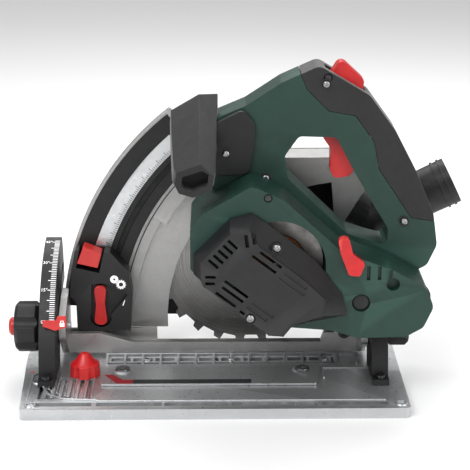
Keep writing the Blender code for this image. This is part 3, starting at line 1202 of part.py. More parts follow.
def make_drive(plunge):
    """Motor, two gear stages, spindle and blade, from the near end to the far end."""
    axis = MOTOR_AXIS
    centre = (axis.x, axis.z)
    stator = plate(
        "stator", [circle(centre, MOTOR_BORE - 1 * MM, ROUND_STEPS), circle(centre, STATOR_BORE, 32)],
        -44 * MM, -6 * MM,
    )
    finish(stator, "copper", plunge)
    rear_bearing = plate(
        "motor_bearing_rear",
        [circle(centre, BEARING_RADIUS, 24), circle(centre, SHAFT_RADIUS + GAP, 16)], -72 * MM, -67 * MM,
    )
    finish(rear_bearing, "steel", plunge)
    toward_lay = math.pi + GEAR_LINE_ANGLE
    rotor = axis_empty("rotor_axis", (axis.x, 0, axis.z), plunge)
    shaft = make_gear("rotor_shaft", MOTOR_TEETH, toward_lay, axis, STAGE_ONE[0], STAGE_ONE[1], 0)
    fuse(
        shaft,
        rod(
            "shaft_body", axis + Vector((0, -73 * MM, 0)), axis + Vector((0, STAGE_ONE[1] - 1 * MM, 0)),
            SHAFT_RADIUS, None, 16,
        ),
    )
    finish(shaft, "steel", rotor)
    core = plate(
        "rotor_core", [circle(centre, STATOR_BORE - 1 * MM, 32), circle(centre, SHAFT_RADIUS + GAP, 16)],
        -43 * MM, -7 * MM,
    )
    finish(core, "steel", rotor)
    fan = plate(
        "cooling_fan", [circle(centre, MOTOR_BORE - 5 * MM, 32), circle(centre, SHAFT_RADIUS + GAP, 16)],
        0, 1.5 * MM,
    )
    for i in range(9):
        angle = 2 * math.pi * i / 9
        out = Vector((math.cos(angle), 0, math.sin(angle)))
        vane = rounded([(12, -0.8), (33, -0.8), (33, 0.8), (12, 0.8)])
        piece = plate(f"fan_vane_{i}", [vane], 1 * MM, 9 * MM)
        piece.rotation_euler = (0, -angle, 0)
        piece.location = piece.location + axis
        fuse(fan, piece)
    finish(fan, "black", rotor)
    lay = axis_empty("lay_shaft_axis", (LAY_AXIS.x, 0, LAY_AXIS.z), plunge)
    gap_phase = GEAR_LINE_ANGLE + math.pi / LAY_GEAR_TEETH
    gear = make_gear("lay_gear", LAY_GEAR_TEETH, gap_phase, LAY_AXIS, *STAGE_ONE, SHAFT_RADIUS + GAP)
    finish(gear, "steel", lay)
    pinion = make_gear("lay_pinion", LAY_PINION_TEETH, toward_lay, LAY_AXIS, *STAGE_TWO, 0)
    fuse(
        pinion,
        rod(
            "lay_shaft", LAY_AXIS + Vector((0, CASE_NEAR + CASE_WALL + GAP, 0)),
            LAY_AXIS + Vector((0, STAGE_TWO[1] + 1 * MM, 0)), SHAFT_RADIUS, None, 16,
        ),
    )
    finish(pinion, "steel", lay)
    spin = axis_empty("blade_axis", (SPINDLE.x, BLADE_Y, SPINDLE.z), plunge)
    wheel = make_gear(
        "spindle_gear", SPINDLE_TEETH, GEAR_LINE_ANGLE + math.pi / SPINDLE_TEETH, SPINDLE, *STAGE_TWO,
        SPINDLE_RADIUS + GAP,
    )
    finish(wheel, "steel", spin)
    start = SPINDLE + Vector((0, CASE_NEAR + CASE_WALL + GAP, 0))
    nose = BLADE_Y + BLADE_THICK / 2
    base = start.y
    spindle = turned("spindle", [
        (0, nose - base), (NOSE_RADIUS, nose - base), (NOSE_RADIUS, CASE_FAR - base), (
            SPINDLE_RADIUS, CASE_FAR - base,
        ),
        (SPINDLE_RADIUS, 0), (0, 0),
    ], start, (0, 1, 0), 20)
    cut(
        spindle,
        rod(
            "spindle_thread", SPINDLE + Vector((0, nose - 10 * MM, 0)),
            SPINDLE + Vector((0, nose + 5 * MM, 0)), SHAFT_RADIUS + GAP, None, 16,
        ),
    )
    finish(spindle, "steel", spin)
    near_face, far_face = BLADE_Y - BLADE_THICK / 2, BLADE_Y + BLADE_THICK / 2
    inner = turned("inner_flange", [
        (
            NOSE_RADIUS + GAP, far_face - GAP,
        ), (BLADE_BORE - GAP, far_face - GAP), (BLADE_BORE - GAP, near_face - GAP),
        (FLANGE_RADIUS, near_face - GAP), (FLANGE_RADIUS, CASE_FAR + GAP), (
            NOSE_RADIUS + GAP, CASE_FAR + GAP,
        ),
    ], (SPINDLE.x, 0, SPINDLE.z), (0, 1, 0), 28)
    finish(inner, "steel", spin)
    outer = plate("outer_flange", [
        circle((SPINDLE.x, SPINDLE.z), FLANGE_RADIUS, 28),
        circle((SPINDLE.x, SPINDLE.z), SHAFT_RADIUS + GAP, 16),
    ],
                  far_face + GAP, far_face + 3 * MM)
    finish(outer, "steel", spin)
    seat = far_face + 3 * MM + GAP
    bolt = turned("blade_bolt", [
        (0, 4 * MM), (7 * MM, 4 * MM), (7 * MM, 0), (SHAFT_RADIUS, 0), (
            SHAFT_RADIUS, -10 * MM,
        ), (0, -10 * MM),
    ], (SPINDLE.x, seat, SPINDLE.z), (0, 1, 0), 20)
    cut(
        bolt,
        rod(
            "bolt_hex", (SPINDLE.x, seat + 1.5 * MM, SPINDLE.z), (SPINDLE.x, seat + 8 * MM, SPINDLE.z),
            3 * MM, None, 6,
        ),
    )
    finish(bolt, "steel", spin)
    teeth = []
    for i in range(BLADE_TEETH):
        for share, depth in ((0, 0), (0.3, 2 * MM), (0.36, 6 * MM), (0.9, 7 * MM)):
            angle = -2 * math.pi * (i + share) / BLADE_TEETH
            radius = BLADE_RADIUS - depth
            teeth.append((SPINDLE.x + radius * math.cos(angle), SPINDLE.z + radius * math.sin(angle)))
    blade = plate("saw_blade", [teeth, circle((SPINDLE.x, SPINDLE.z), BLADE_BORE, 28)], near_face, far_face)
    finish(blade, "bright", spin)


def make_electrics(plunge):
    board = plate(
        "control_board", [rounded([(108, 88), (146, 88), (146, 102), (112, 102)])], -20 * MM, -17 * MM,
    )
    finish(board, "board", plunge)
    switch = plate(
        "trigger_switch", [rounded([(132, 214), (140, 199), (148, 206), (142, 216)])], TRIGGER_NEAR,
        TRIGGER_FAR,
    )
    finish(switch, "black", plunge)


def main():
    make_base()
    make_quadrant("front_quadrant", FRONT_QUADRANT_X, CLAMP_ANGLE_FRONT, math.radians(82))
    make_quadrant("rear_quadrant", REAR_QUADRANT_X, CLAMP_ANGLE_REAR, math.radians(73))
    bevel = axis_empty("bevel_axis", BEVEL_AXIS)
    make_tilt_frame(bevel)
    make_hood(bevel)
    make_depth_guide(bevel)
    make_depth_stop(bevel)
    make_clamps(bevel)
    make_pointer(bevel)
    make_dust_elbow(bevel)
    plunge = axis_empty("plunge_axis", PIVOT, bevel)
    make_housing(plunge)
    make_motor_cover(plunge)
    make_controls(plunge)
    make_front_handle(plunge)
    make_gear_case(plunge)
    make_drive(plunge)
    make_electrics(plunge)


main()
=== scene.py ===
"""Looks for the track plunge saw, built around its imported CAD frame.

Metres, +Z up. The saw stands on its sole, the cut runs towards -X, the motor and the camera are
on the -Y side. Every moving piece rides on the CAD body that carries it.
"""

import json
import math

import bmesh
import bpy
from mathutils import Matrix, Vector

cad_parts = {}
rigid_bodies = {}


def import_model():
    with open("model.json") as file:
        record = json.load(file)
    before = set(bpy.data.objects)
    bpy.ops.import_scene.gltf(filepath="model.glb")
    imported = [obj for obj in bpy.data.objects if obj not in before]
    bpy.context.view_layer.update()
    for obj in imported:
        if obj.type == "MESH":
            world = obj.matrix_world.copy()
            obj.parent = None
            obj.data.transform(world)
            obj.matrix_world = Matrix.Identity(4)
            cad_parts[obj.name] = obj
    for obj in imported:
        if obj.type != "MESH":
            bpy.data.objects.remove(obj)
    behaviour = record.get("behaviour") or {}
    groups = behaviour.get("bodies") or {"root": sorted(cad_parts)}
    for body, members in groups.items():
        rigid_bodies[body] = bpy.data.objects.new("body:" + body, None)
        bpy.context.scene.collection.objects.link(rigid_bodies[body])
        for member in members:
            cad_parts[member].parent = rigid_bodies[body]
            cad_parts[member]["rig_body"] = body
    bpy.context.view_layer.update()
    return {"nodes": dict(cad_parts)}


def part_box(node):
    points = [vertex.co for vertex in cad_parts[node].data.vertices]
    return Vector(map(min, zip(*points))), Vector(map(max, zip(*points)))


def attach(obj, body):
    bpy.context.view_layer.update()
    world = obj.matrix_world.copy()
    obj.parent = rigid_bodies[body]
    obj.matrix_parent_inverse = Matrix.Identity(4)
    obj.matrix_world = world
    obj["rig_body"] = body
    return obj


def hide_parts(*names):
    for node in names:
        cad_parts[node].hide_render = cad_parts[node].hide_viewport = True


MM = 0.001

# Camera
CAMERA_PLACE = (0.0008, -1.1723, 0.5094)
CAMERA_PITCH = math.radians(18)
CAMERA_TURN = math.radians(0.8)
CAMERA_LENS = 111.06  # millimetres
CAMERA_SENSOR = 36

# The frame's own measurements, as the CAD model has them
BLADE_AXIS = Vector((25.38 * MM, 72 * MM, 84 * MM))
BEVEL_Y = 72 * MM
QUADRANT_RADIUS = 110 * MM
PLUNGE_PIVOT = Vector((114 * MM, 0, 31.5 * MM))

SHARP = math.radians(32)  # edges sharper than this are rounded

# Studio: the world's brightness by height, then name, place, aim, size and watts of each light
SKY_LEVELS = ((0.0, 0.30), (0.35, 0.34), (0.6, 0.85), (1.0, 1.25))
LIGHTS = (
    ("key", (-0.7, -0.9, 1.3), (0, 0, 0.1), (0.9, 0.9), 16),
    ("fill", (1.1, -0.9, 0.7), (0, 0, 0.1), (0.9, 0.9), 7),
    ("rim", (0.2, 0.9, 1.2), (0, 0, 0.15), (1.2, 0.5), 14),
)

# Scales, signs and crescent, in millimetres
RIM_TURN = math.radians(32)  # where 0 degrees lies on the front quadrant's rim
BEVEL_SCALE_END = 46  # degrees
BEVEL_MARK = -141.2  # where a short mark starts, along X
BEVEL_LONG_MARK = -143.6
BEVEL_MARK_END = -136.8
BEVEL_FIGURES_X = -146.4
DEPTH_MARKS = range(36, 96)  # half degrees about the plunge pivot
DEPTH_MARK_FOOT = 218.6  # radii about the plunge pivot
DEPTH_MARK_TOP = 221.2
DEPTH_LONG_TOP = 223.5
DEPTH_MARK_SPAN = (43.88, 44.05)  # near and far side, along Y
STOP_SIGNS = ((-88.4, 79.4, False), (-82.6, 74.6, True))  # x, z, and whether it has teeth
STOP_SIGN_RADIUS = 3.6
STOP_SIGN_TOOTH = 0.8
STOP_SIGN_FACE = (26.35, 26.7)
RIM_RADII = (246.4, 249.45)
RIM_SPAN = (43.5, 50.4)
SHOULDER_ARC = (4.5, 60)  # degrees, shared by the hood's shoulder and its grooves
GROOVE_SPAN = (50.2, 50.7)
GROOVES = ((198.2, 199.3), (194.6, 195.6))

# Base, in millimetres
POCKET_ENDS = (-98, -43, 12, 67, 122)
STUD_SECTION = ((0, 4), (6, 4), (4.6, 6.8), (3.4, 6.8))
STUDS_IN_POCKET = 3
STUD_PITCH = 16
GRATE_SECTION = ((0, 4), (18.5, 4), (18.5, 12.4), (12, 12.4), (3, 10.6), (0, 9.6))
GRATE_START = -96
GRATE_RIBS = 15
GRATE_PITCH = 15.6
GRATE_RIB_WIDTH = 2.2
PAD_RIB_DROPS = (0, 8, 13, 15, 16, 16)  # how far each finger pad rib reaches past the first
PAD_PITCH = 7.4
PAD_RIM = ((-145, -19), (-145, -48), (-139, -63), (-126, -72), (-97, -74.6))
CORNER_SEATS = ((-152, -83, 5.2), (153, -83, 5.6), (-151, -36, 5))  # x, y, radius
SCREWS_ON_PLATE = ((-80, -17), (75, -17))
STRIP_NEAR = -44.6
STRIP_FAR = -36.6

# Motor cover, in millimetres
COVER_BACK = (
    (-17.5, 131), (12, 161.5), (30, 166), (42, 158), (82, 126), (104, 97), (108.5, 79),
    (64, 74.5), (56, 65.5), (43, 66.5), (-11.5, 109), (-17.5, 115),
)
COVER_FACE = (
    (-12.5, 132), (12, 156.5), (28, 158), (35, 146), (74, 115), (90, 99), (88, 84),
    (63, 76), (55.5, 66.2), (43.5, 67.2), (-9.5, 110), (-12.5, 117),
)
COVER_RINGS = (  # y, how far the ring is drawn in, and its outline
    (-58.4, 0, COVER_BACK), (-61, 0, COVER_BACK), (-77, 0, COVER_FACE), (-79.9, 1.6, COVER_FACE),
)
COVER_CENTRE = (40, 112)
COVER_WALL = 2.2
COVER_SLOPE = Vector((0.79, -0.61))
COVER_SCREWS = ((49.6, 141.4), (28.4, 83.2))
LONG_VENTS = (  # middle, and length, of each slot along the slope
    ((44.6, 133.3), 21.6), ((39.4, 129.5), 23.8), ((17.1, 108.6), 23.4), ((14.2, 104), 21.3),
    ((8.6, 99.7), 19.8), ((2.4, 99.3), 25.8),
)
BLIND_VENTS = (((64.8, 115.6), 22), ((62, 111), 25), ((38.5, 90.9), 21), ((33.8, 87.8), 20))
SHORT_VENTS = (((21.9, 88.4), 4.6), ((18.8, 85.4), 5.8))

# Front handle, label and screws, in millimetres
HEAD_SCREWS = (  # x, y and z of each seat, and how far the screw stands off it
    (9.6, -15.3, 204, 0.9), (42.6, -10.4, 181.8, 0.8), (91.6, -10.4, 261, 0.8),
    (159.3, -10.4, 143.5, 0.8),
)
HORN_RINGS = (  # y, then (x, z) points round the section
    (6, ((-37, 226), (-36, 236), (-13, 249.5), (3, 250), (3, 216), (-12, 204), (-34, 210))),
    (-20, ((-36, 212), (-35, 223), (-12, 234.5), (1.6, 226), (1.4, 205), (-14, 193), (-33, 199))),
    (-55, (
        (-34, 192), (-32.5, 203), (-11.6, 211.5), (1, 200), (-0.6, 189), (-16, 180.5), (-30, 184),
    )),
    (-61.5, (
        (-32, 190.5), (-30, 200.5), (-11.5, 207.5), (-0.5, 197), (-1.8, 187), (-17, 179.5),
        (-28.4, 183),
    )),
)
HORN_MOUTH = (
    (-26.5, 188.5), (-25.6, 196.8), (-9.4, 201.8), (-4.3, 198.2), (-5.3, 189.2), (-17.6, 184),
    (-24.5, 186),
)

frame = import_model()


# ---------------------------------------------------------------- finishes

class Finish:
    """A node material under construction, with short names for the nodes it uses."""

    def __init__(self, name):
        self.material = bpy.data.materials.new(name)
        self.material.use_nodes = True
        self.nodes = self.material.node_tree.nodes
        self.links = self.material.node_tree.links
        self.shader = self.nodes["Principled BSDF"]
        self.place = self.nodes.new("ShaderNodeTexCoord").outputs["Object"]

    def stretched(self, scale, turn=(0, 0, 0), origin=(0, 0, 0)):
        mapping = self.nodes.new("ShaderNodeMapping")
        mapping.vector_type = "TEXTURE"
        mapping.inputs["Location"].default_value = origin
        mapping.inputs["Rotation"].default_value = turn
        mapping.inputs["Scale"].default_value = scale
        self.links.new(self.place, mapping.inputs["Vector"])
        return mapping.outputs["Vector"]

    def noise(self, size, detail=3.0, rough=0.5, place=None):
        """Cloudy noise whose lumps are about size metres across."""
        noise = self.nodes.new("ShaderNodeTexNoise")
        noise.inputs["Scale"].default_value = 1 / size
        noise.inputs["Detail"].default_value = detail
        noise.inputs["Roughness"].default_value = rough
        self.links.new(place or self.place, noise.inputs["Vector"])
        return noise.outputs["Fac"]

    def ramp(self, value, low, high, start=0.0, end=1.0):
        span = self.nodes.new("ShaderNodeMapRange")
        span.inputs["From Min"].default_value = low
        span.inputs["From Max"].default_value = high
        span.inputs["To Min"].default_value = start
        span.inputs["To Max"].default_value = end
        self.links.new(value, span.inputs["Value"])
        return span.outputs["Result"]

    def blend(self, share, first, second):
        """A colour between first and second, each a colour or another node's output."""
        mix = self.nodes.new("ShaderNodeMix")
        mix.data_type = "RGBA"
        self.links.new(share, mix.inputs["Factor"])
        for socket, colour in ((mix.inputs[6], first), (mix.inputs[7], second)):
            if isinstance(colour, tuple):
                socket.default_value = (*colour, 1)
            else:
                self.links.new(colour, socket)
        return mix.outputs[2]

    def worn_and_highlit_edge(self):
        """1 along raised edges, 0 elsewhere: the mask for edge wear and painted edge highlight."""
        shape = self.nodes.new("ShaderNodeNewGeometry").outputs["Pointiness"]
        return self.ramp(shape, 0.52, 0.60)

    def colour(self, output):
        self.links.new(output, self.shader.inputs["Base Color"])

    def rough(self, output):
        self.links.new(output, self.shader.inputs["Roughness"])

    def bump(self, *layers):
        """Layers of (height output, depth in metres), one over the other."""
        normal = None
        for height, depth in layers:
            bump = self.nodes.new("ShaderNodeBump")
            bump.inputs["Distance"].default_value = depth
            bump.inputs["Strength"].default_value = 1.0
            self.links.new(height, bump.inputs["Height"])
            if normal:
                self.links.new(normal, bump.inputs["Normal"])
            normal = bump.outputs["Normal"]
        self.links.new(normal, self.shader.inputs["Normal"])


def moulded(name, colour, shade, rough, grain=0.5 * MM, depth=0.02 * MM, sheen=0.0, edge=None):
    """A moulded plastic or rubber: mottled colour, spark-eroded grain and slightly lighter edges,
    partly wear and partly painted highlight.
    """
    look = Finish(name)
    patch = look.ramp(look.noise(14 * MM, 4), 0.35, 0.65)
    body = look.blend(patch, colour, shade)
    speck = look.ramp(look.noise(0.7 * MM, 2), 0.62, 0.75, 0, 0.35)
    body = look.blend(speck, body, tuple(min(1, 1.7 * c + 0.004) for c in colour))
    # Raised edges lighter: partly wear, partly painted highlight.
    look.colour(look.blend(look.worn_and_highlit_edge(), body, edge or tuple(1.6 * c + 0.006 for c in colour)))
    look.rough(look.ramp(look.noise(6 * MM, 3), 0.3, 0.7, rough - 0.06, rough + 0.07))
    look.bump((look.noise(grain, 2, 0.6), depth), (look.noise(9 * MM, 2), depth))
    if sheen:
        look.shader.inputs["Sheen Weight"].default_value = sheen
        look.shader.inputs["Sheen Roughness"].default_value = 0.4
    return look.material


def cast(name, colour, shade, rough, grain=0.9 * MM, depth=0.06 * MM):
    """A die-cast metal: sandy skin, cloudy tone, edges brightened partly as rubbed wear and partly
    as painted highlight.
    """
    look = Finish(name)
    patch = look.ramp(look.noise(18 * MM, 5, 0.6), 0.3, 0.7)
    body = look.blend(patch, colour, shade)
    pits = look.ramp(look.noise(0.9 * MM, 3, 0.7), 0.6, 0.72, 0, 0.4)
    body = look.blend(pits, body, tuple(0.55 * c for c in shade))
    # Raised edges brighter: partly rubbed wear, partly painted highlight.
    look.colour(look.blend(look.worn_and_highlit_edge(), body, tuple(min(1, 1.15 * c + 0.05) for c in colour)))
    look.rough(look.ramp(look.noise(3 * MM, 4), 0.3, 0.7, rough - 0.1, rough + 0.1))
    look.bump((look.noise(grain, 3, 0.65), depth), (look.noise(12 * MM, 2), depth))
    look.shader.inputs["Metallic"].default_value = 0.85
    return look.material


def ground(name, colour, shade, rough, stretch=(60, 1, 1), depth=0.006 * MM):
    """A ground or brushed metal, its scratches long in the direction of the largest stretch."""
    look = Finish(name)
    scratches = look.noise(0.5 * MM, 3, 0.6, look.stretched(stretch))
    body = look.blend(look.ramp(scratches, 0.35, 0.65), colour, shade)
    stain = look.ramp(look.noise(25 * MM, 3), 0.5, 0.8, 0, 0.35)
    look.colour(look.blend(stain, body, tuple(0.75 * c for c in shade)))
    look.rough(look.ramp(scratches, 0.3, 0.7, rough - 0.08, rough + 0.1))
    look.bump((scratches, depth))
    look.shader.inputs["Metallic"].default_value = 1.0
    return look.material


def spun(name, colour, shade, rough, centre):
    """A disc ground while it turned about a Y axis through the centre: rings of fine scratches."""
    look = Finish(name)
    around = look.nodes.new("ShaderNodeVectorMath")
    around.operation = "SUBTRACT"
    look.links.new(look.place, around.inputs[0])
    around.inputs[1].default_value = centre
    flat = look.nodes.new("ShaderNodeVectorMath")
    flat.operation = "MULTIPLY"
    look.links.new(around.outputs[0], flat.inputs[0])
    flat.inputs[1].default_value = (1, 0, 1)
    reach = look.nodes.new("ShaderNodeVectorMath")
    reach.operation = "LENGTH"
    look.links.new(flat.outputs[0], reach.inputs[0])
    rings = look.nodes.new("ShaderNodeTexNoise")
    rings.noise_dimensions = "1D"
    rings.inputs["Scale"].default_value = 1 / (0.8 * MM)
    rings.inputs["Detail"].default_value = 4
    look.links.new(reach.outputs["Value"], rings.inputs["W"])
    fine = rings.outputs["Fac"]
    body = look.blend(look.ramp(fine, 0.35, 0.65), colour, shade)
    stain = look.ramp(look.noise(20 * MM, 4), 0.5, 0.75, 0, 0.4)
    look.colour(look.blend(stain, body, tuple(0.7 * c for c in shade)))
    look.rough(look.ramp(fine, 0.3, 0.7, rough - 0.08, rough + 0.1))
    look.bump((fine, 0.01 * MM))
    look.shader.inputs["Metallic"].default_value = 1.0
    return look.material


GREEN = moulded("moulded green", (0.006, 0.034, 0.024), (0.004, 0.026, 0.018), 0.48)
BLACK = moulded("moulded black", (0.006, 0.006, 0.0065), (0.004, 0.004, 0.0045), 0.52)
SATIN_BLACK = moulded("satin black", (0.008, 0.008, 0.009), (0.005, 0.005, 0.006), 0.42)
RUBBER = moulded("soft black rubber", (0.009, 0.009, 0.010), (0.006, 0.006, 0.007), 0.62,
                 grain=0.8 * MM, depth=0.05 * MM, sheen=0.25)
RED = moulded("moulded red", (0.62, 0.012, 0.014), (0.50, 0.008, 0.010), 0.36, depth=0.01 * MM,
              edge=(0.75, 0.06, 0.05))
DARK_RED = moulded(
    "printed dark red", (0.16, 0.004, 0.008), (0.12, 0.003, 0.006), 0.4, depth=0.004 * MM,
)
CAST = cast("die-cast aluminium", (0.46, 0.455, 0.45), (0.38, 0.375, 0.37), 0.45)
BRIGHT_CAST = cast(
    "machined aluminium", (0.55, 0.56, 0.57), (0.47, 0.48, 0.49), 0.36, 0.6 * MM, 0.02 * MM,
)
STEEL = ground("plated steel", (0.42, 0.42, 0.43), (0.33, 0.33, 0.34), 0.32, (1, 12, 1))
DARK_STEEL = ground("blackened steel", (0.10, 0.10, 0.105), (0.06, 0.06, 0.063), 0.38, (1, 12, 1))
# The blade's steel is darker than the other steel, partly as painted shade for the blade's place in
# the hood's shadow.
BLADE_STEEL_PAINTED_SHADE = spun("ground blade steel with painted shade", (0.34, 0.335, 0.33), (0.24, 0.235, 0.23), 0.32, BLADE_AXIS)
WINDING = ground(
    "varnished winding", (0.62, 0.26, 0.10), (0.40, 0.15, 0.06), 0.35, (1, 30, 1), 0.05 * MM,
)
LAMINATE = ground(
    "laminated iron", (0.30, 0.29, 0.28), (0.20, 0.19, 0.185), 0.45, (30, 1, 30), 0.02 * MM,
)
BOARD = moulded("coated board", (0.015, 0.10, 0.04), (0.01, 0.075, 0.03), 0.35)
WHITE = moulded("printed white", (0.80, 0.80, 0.80), (0.74, 0.74, 0.745), 0.42, depth=0.004 * MM)


# ---------------------------------------------------------------- pieces made from CAD nodes

def show_edges(piece, width, segments=2):
    """Rounds the piece's edges by width and lights them as one soft surface."""
    piece.data.shade_smooth()
    bevel = piece.modifiers.new("edges", "BEVEL")
    bevel.width = width
    bevel.segments = segments
    bevel.limit_method = "ANGLE"
    bevel.angle_limit = SHARP
    bevel.use_clamp_overlap = True
    weigh = piece.modifiers.new("light", "WEIGHTED_NORMAL")
    weigh.keep_sharp = True
    weigh.weight = 60


def link(name, mesh, body, finish):
    piece = bpy.data.objects.new(name, mesh)
    bpy.context.scene.collection.objects.link(piece)
    mesh.materials.clear()
    mesh.materials.append(finish)
    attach(piece, body)
    return piece


def refined(node, finish, width=0.5 * MM):
    """A finished piece in place of a CAD node: joined faces, rounded edges and a real finish."""
    source = frame["nodes"][node]
    form = bmesh.new()
    form.from_mesh(source.data)
    bmesh.ops.remove_doubles(form, verts=form.verts, dist=0.004 * MM)
    bmesh.ops.dissolve_limit(
        form, angle_limit=math.radians(0.6), verts=form.verts, edges=form.edges,
    )
    mesh = bpy.data.meshes.new(node)
    form.to_mesh(mesh)
    form.free()
    piece = link(f"{node}_finished", mesh, source["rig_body"], finish)
    show_edges(piece, width)
    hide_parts(node)
    return piece


# ---------------------------------------------------------------- small shapes

class Form:
    """A mesh built up from blocks, prisms and screws, all in millimetres."""

    def __init__(self):
        self.mesh = bmesh.new()

    def prism(self, outline, low, high, facing="Y"):
        """An outline made thick from low to high: (x, z), (y, z) or (x, y) for facing Y, X or Z."""
        place = {
            "Y": lambda a, b, c: (a, c, b),
            "X": lambda a, b, c: (c, a, b),
            "Z": lambda a, b, c: (a, b, c),
        }[facing]
        rings = [
            [self.mesh.verts.new(Vector(place(a, b, c)) * MM) for a, b in outline]
            for c in (low, high)
        ]
        self.skin(rings)
        return self

    def skin(self, rings):
        """Joins closed rings of equal length into one closed solid."""
        count = len(rings[0])
        faces = [self.mesh.faces.new(rings[0][::-1]), self.mesh.faces.new(rings[-1])]
        for first, second in zip(rings, rings[1:]):
            for i in range(count):
                j = (i + 1) % count
                faces.append(self.mesh.faces.new((first[i], first[j], second[j], second[i])))
        bmesh.ops.recalc_face_normals(self.mesh, faces=faces)

    def block(self, low, high):
        return self.prism([
            (low[0], low[1]), (high[0], low[1]), (high[0], high[1]), (low[0], high[1]),
        ], low[2], high[2], "Z")

    def bar(self, start, end, width, low, high, facing="Y"):
        """A straight bar between two points of the outline's plane."""
        a, b = Vector(start), Vector(end)
        side = Vector((a.y - b.y, b.x - a.x)).normalized() * width / 2
        corners = [tuple(a - side), tuple(b - side), tuple(b + side), tuple(a + side)]
        return self.prism(corners, low, high, facing)

    def lathe(self, profile, place, axis, steps=24):
        """Rings of (radius, height) about an axis; a radius of ("hex", r) follows a hexagon."""
        axis = Vector(axis).normalized()
        side = axis.orthogonal().normalized()
        other = axis.cross(side)
        rings = []
        for radius, height in profile:
            ring = []
            for i in range(steps):
                angle = 2 * math.pi * i / steps
                reach = radius
                if isinstance(radius, tuple):
                    step = (angle % (math.pi / 3)) - math.pi / 6
                    reach = radius[1] / math.cos(step)
                spoke = side * math.cos(angle) + other * math.sin(angle)
                point = Vector(place) + axis * height + spoke * reach
                ring.append(self.mesh.verts.new(point * MM))
            rings.append(ring)
        self.skin(rings)
        return self

    def screw(self, place, axis, radius=3.2, height=1.6):
        """A button-head screw with a hexagon socket."""
        hexagon = ("hex", radius * 0.42)
        return self.lathe([
            (radius, -0.4), (radius, height * 0.35), (radius * 0.86, height * 0.8),
            (radius * 0.62, height), (("hex", radius * 0.47), height), (hexagon, height - 0.9),
        ], place, axis)

    def text(self, words, size, place, right, up, depth=0.15):
        """Raised figures whose baseline runs along right, centred on the place, in millimetres."""
        curve = bpy.data.curves.new("figures", "FONT")
        curve.body, curve.size = words, size
        curve.align_x, curve.align_y = "CENTER", "CENTER"
        curve.extrude, curve.resolution_u = depth, 2
        holder = bpy.data.objects.new("figures", curve)
        bpy.context.scene.collection.objects.link(holder)
        ready = holder.evaluated_get(bpy.context.evaluated_depsgraph_get())
        data = bpy.data.meshes.new_from_object(ready)
        right, up = Vector(right).normalized(), Vector(up).normalized()
        turn = Matrix((right, up, right.cross(up))).transposed().to_4x4()
        data.transform(Matrix.Scale(MM, 4) @ Matrix.Translation(place) @ turn)
        self.mesh.from_mesh(data)
        bpy.data.objects.remove(holder)
        bpy.data.curves.remove(curve)
        bpy.data.meshes.remove(data)
        return self

    def done(self, name, body, finish, width=0.2):
        data = bpy.data.meshes.new(name)
        self.mesh.to_mesh(data)
        self.mesh.free()
        piece = link(name, data, body, finish)
        if width:
            show_edges(piece, width * MM)
        return piece


def about_pivot(low, high, start, end, steps=30):
    """A ring sector about the plunge pivot, radii in millimetres, degrees up from the front."""
    centre = PLUNGE_PIVOT / MM
    angles = [math.radians(180 - start - (end - start) * i / steps) for i in range(steps + 1)]
    edges = [(high, a) for a in angles] + [(low, a) for a in reversed(angles)]
    return [(centre.x + r * math.cos(a), centre.z + r * math.sin(a)) for r, a in edges]


# The finish and the edge rounding in millimetres of each CAD node. The motor cover and the front
# handle are not here, since they have their own makers further down.
FINISHES = {
    "base_plate": (BRIGHT_CAST, 0.5), "adjustment_plate": (BRIGHT_CAST, 0.3),
    "plate_screw_1": (STEEL, 0.3), "plate_screw_2": (STEEL, 0.3), "front_quadrant": (BLACK, 0.6),
    "front_quadrant_screw": (DARK_STEEL, 0.2), "rear_quadrant": (BLACK, 0.6),
    "rear_quadrant_screw": (DARK_STEEL, 0.2), "rail_play_knob": (RED, 0.5),
    "tilt_frame": (CAST, 0.5), "plunge_pivot_pin": (DARK_STEEL, 0.3), "blade_hood": (CAST, 0.5),
    "hood_outer_cover": (BLACK, 0.4), "hood_screw_1": (DARK_STEEL, 0.2),
    "depth_guide": (BLACK, 0.5), "depth_scale": (BRIGHT_CAST, 0.1), "guide_spacer": (CAST, 0.2),
    "front_clamp_bolt": (STEEL, 0.2), "rear_clamp_bolt": (STEEL, 0.2),
    "bevel_pointer": (RED, 0.2), "plunge_spring": (DARK_STEEL, 0.1),
    "depth_stop": (SATIN_BLACK, 0.5), "depth_stop_button": (RED, 0.5),
    "depth_stop_lever": (RED, 0.4), "front_clamp_knob": (BLACK, 0.6),
    "rear_clamp_knob": (BLACK, 0.6), "bevel_release_button": (RED, 0.4),
    "dust_elbow": (BLACK, 0.5), "housing_near_shell": (GREEN, 0.6),
    "housing_far_shell": (GREEN, 0.6), "rubber_grip": (RUBBER, 0.6),
    "shell_screw_1": (DARK_STEEL, 0.15), "shell_screw_2": (DARK_STEEL, 0.15),
    "housing_boss_plug": (BLACK, 0.3), "neck_cover": (BLACK, 0.4), "gear_case": (CAST, 0.5),
    "gear_case_cover": (CAST, 0.4), "spindle_bearing": (STEEL, 0.2),
    "motor_bearing_front": (STEEL, 0.2), "motor_bearing_rear": (STEEL, 0.2),
    "stator": (LAMINATE, 0.3), "control_board": (BOARD, 0.2), "trigger_switch": (BLACK, 0.3),
    "trigger": (RED, 0.5), "thumb_lock": (RED, 0.4), "spindle_lock_lever": (RED, 0.4),
    "speed_dial": (BLACK, 0.4), "rotor_shaft": (STEEL, 0.1), "rotor_core": (WINDING, 0.3),
    "cooling_fan": (BLACK, 0.1), "lay_gear": (STEEL, 0.1), "lay_pinion": (STEEL, 0.1),
    "spindle": (STEEL, 0.2), "spindle_gear": (STEEL, 0.1), "inner_flange": (STEEL, 0.2),
    "outer_flange": (STEEL, 0.2), "blade_bolt": (DARK_STEEL, 0.3), "saw_blade": (BLADE_STEEL_PAINTED_SHADE, 0.0),
}

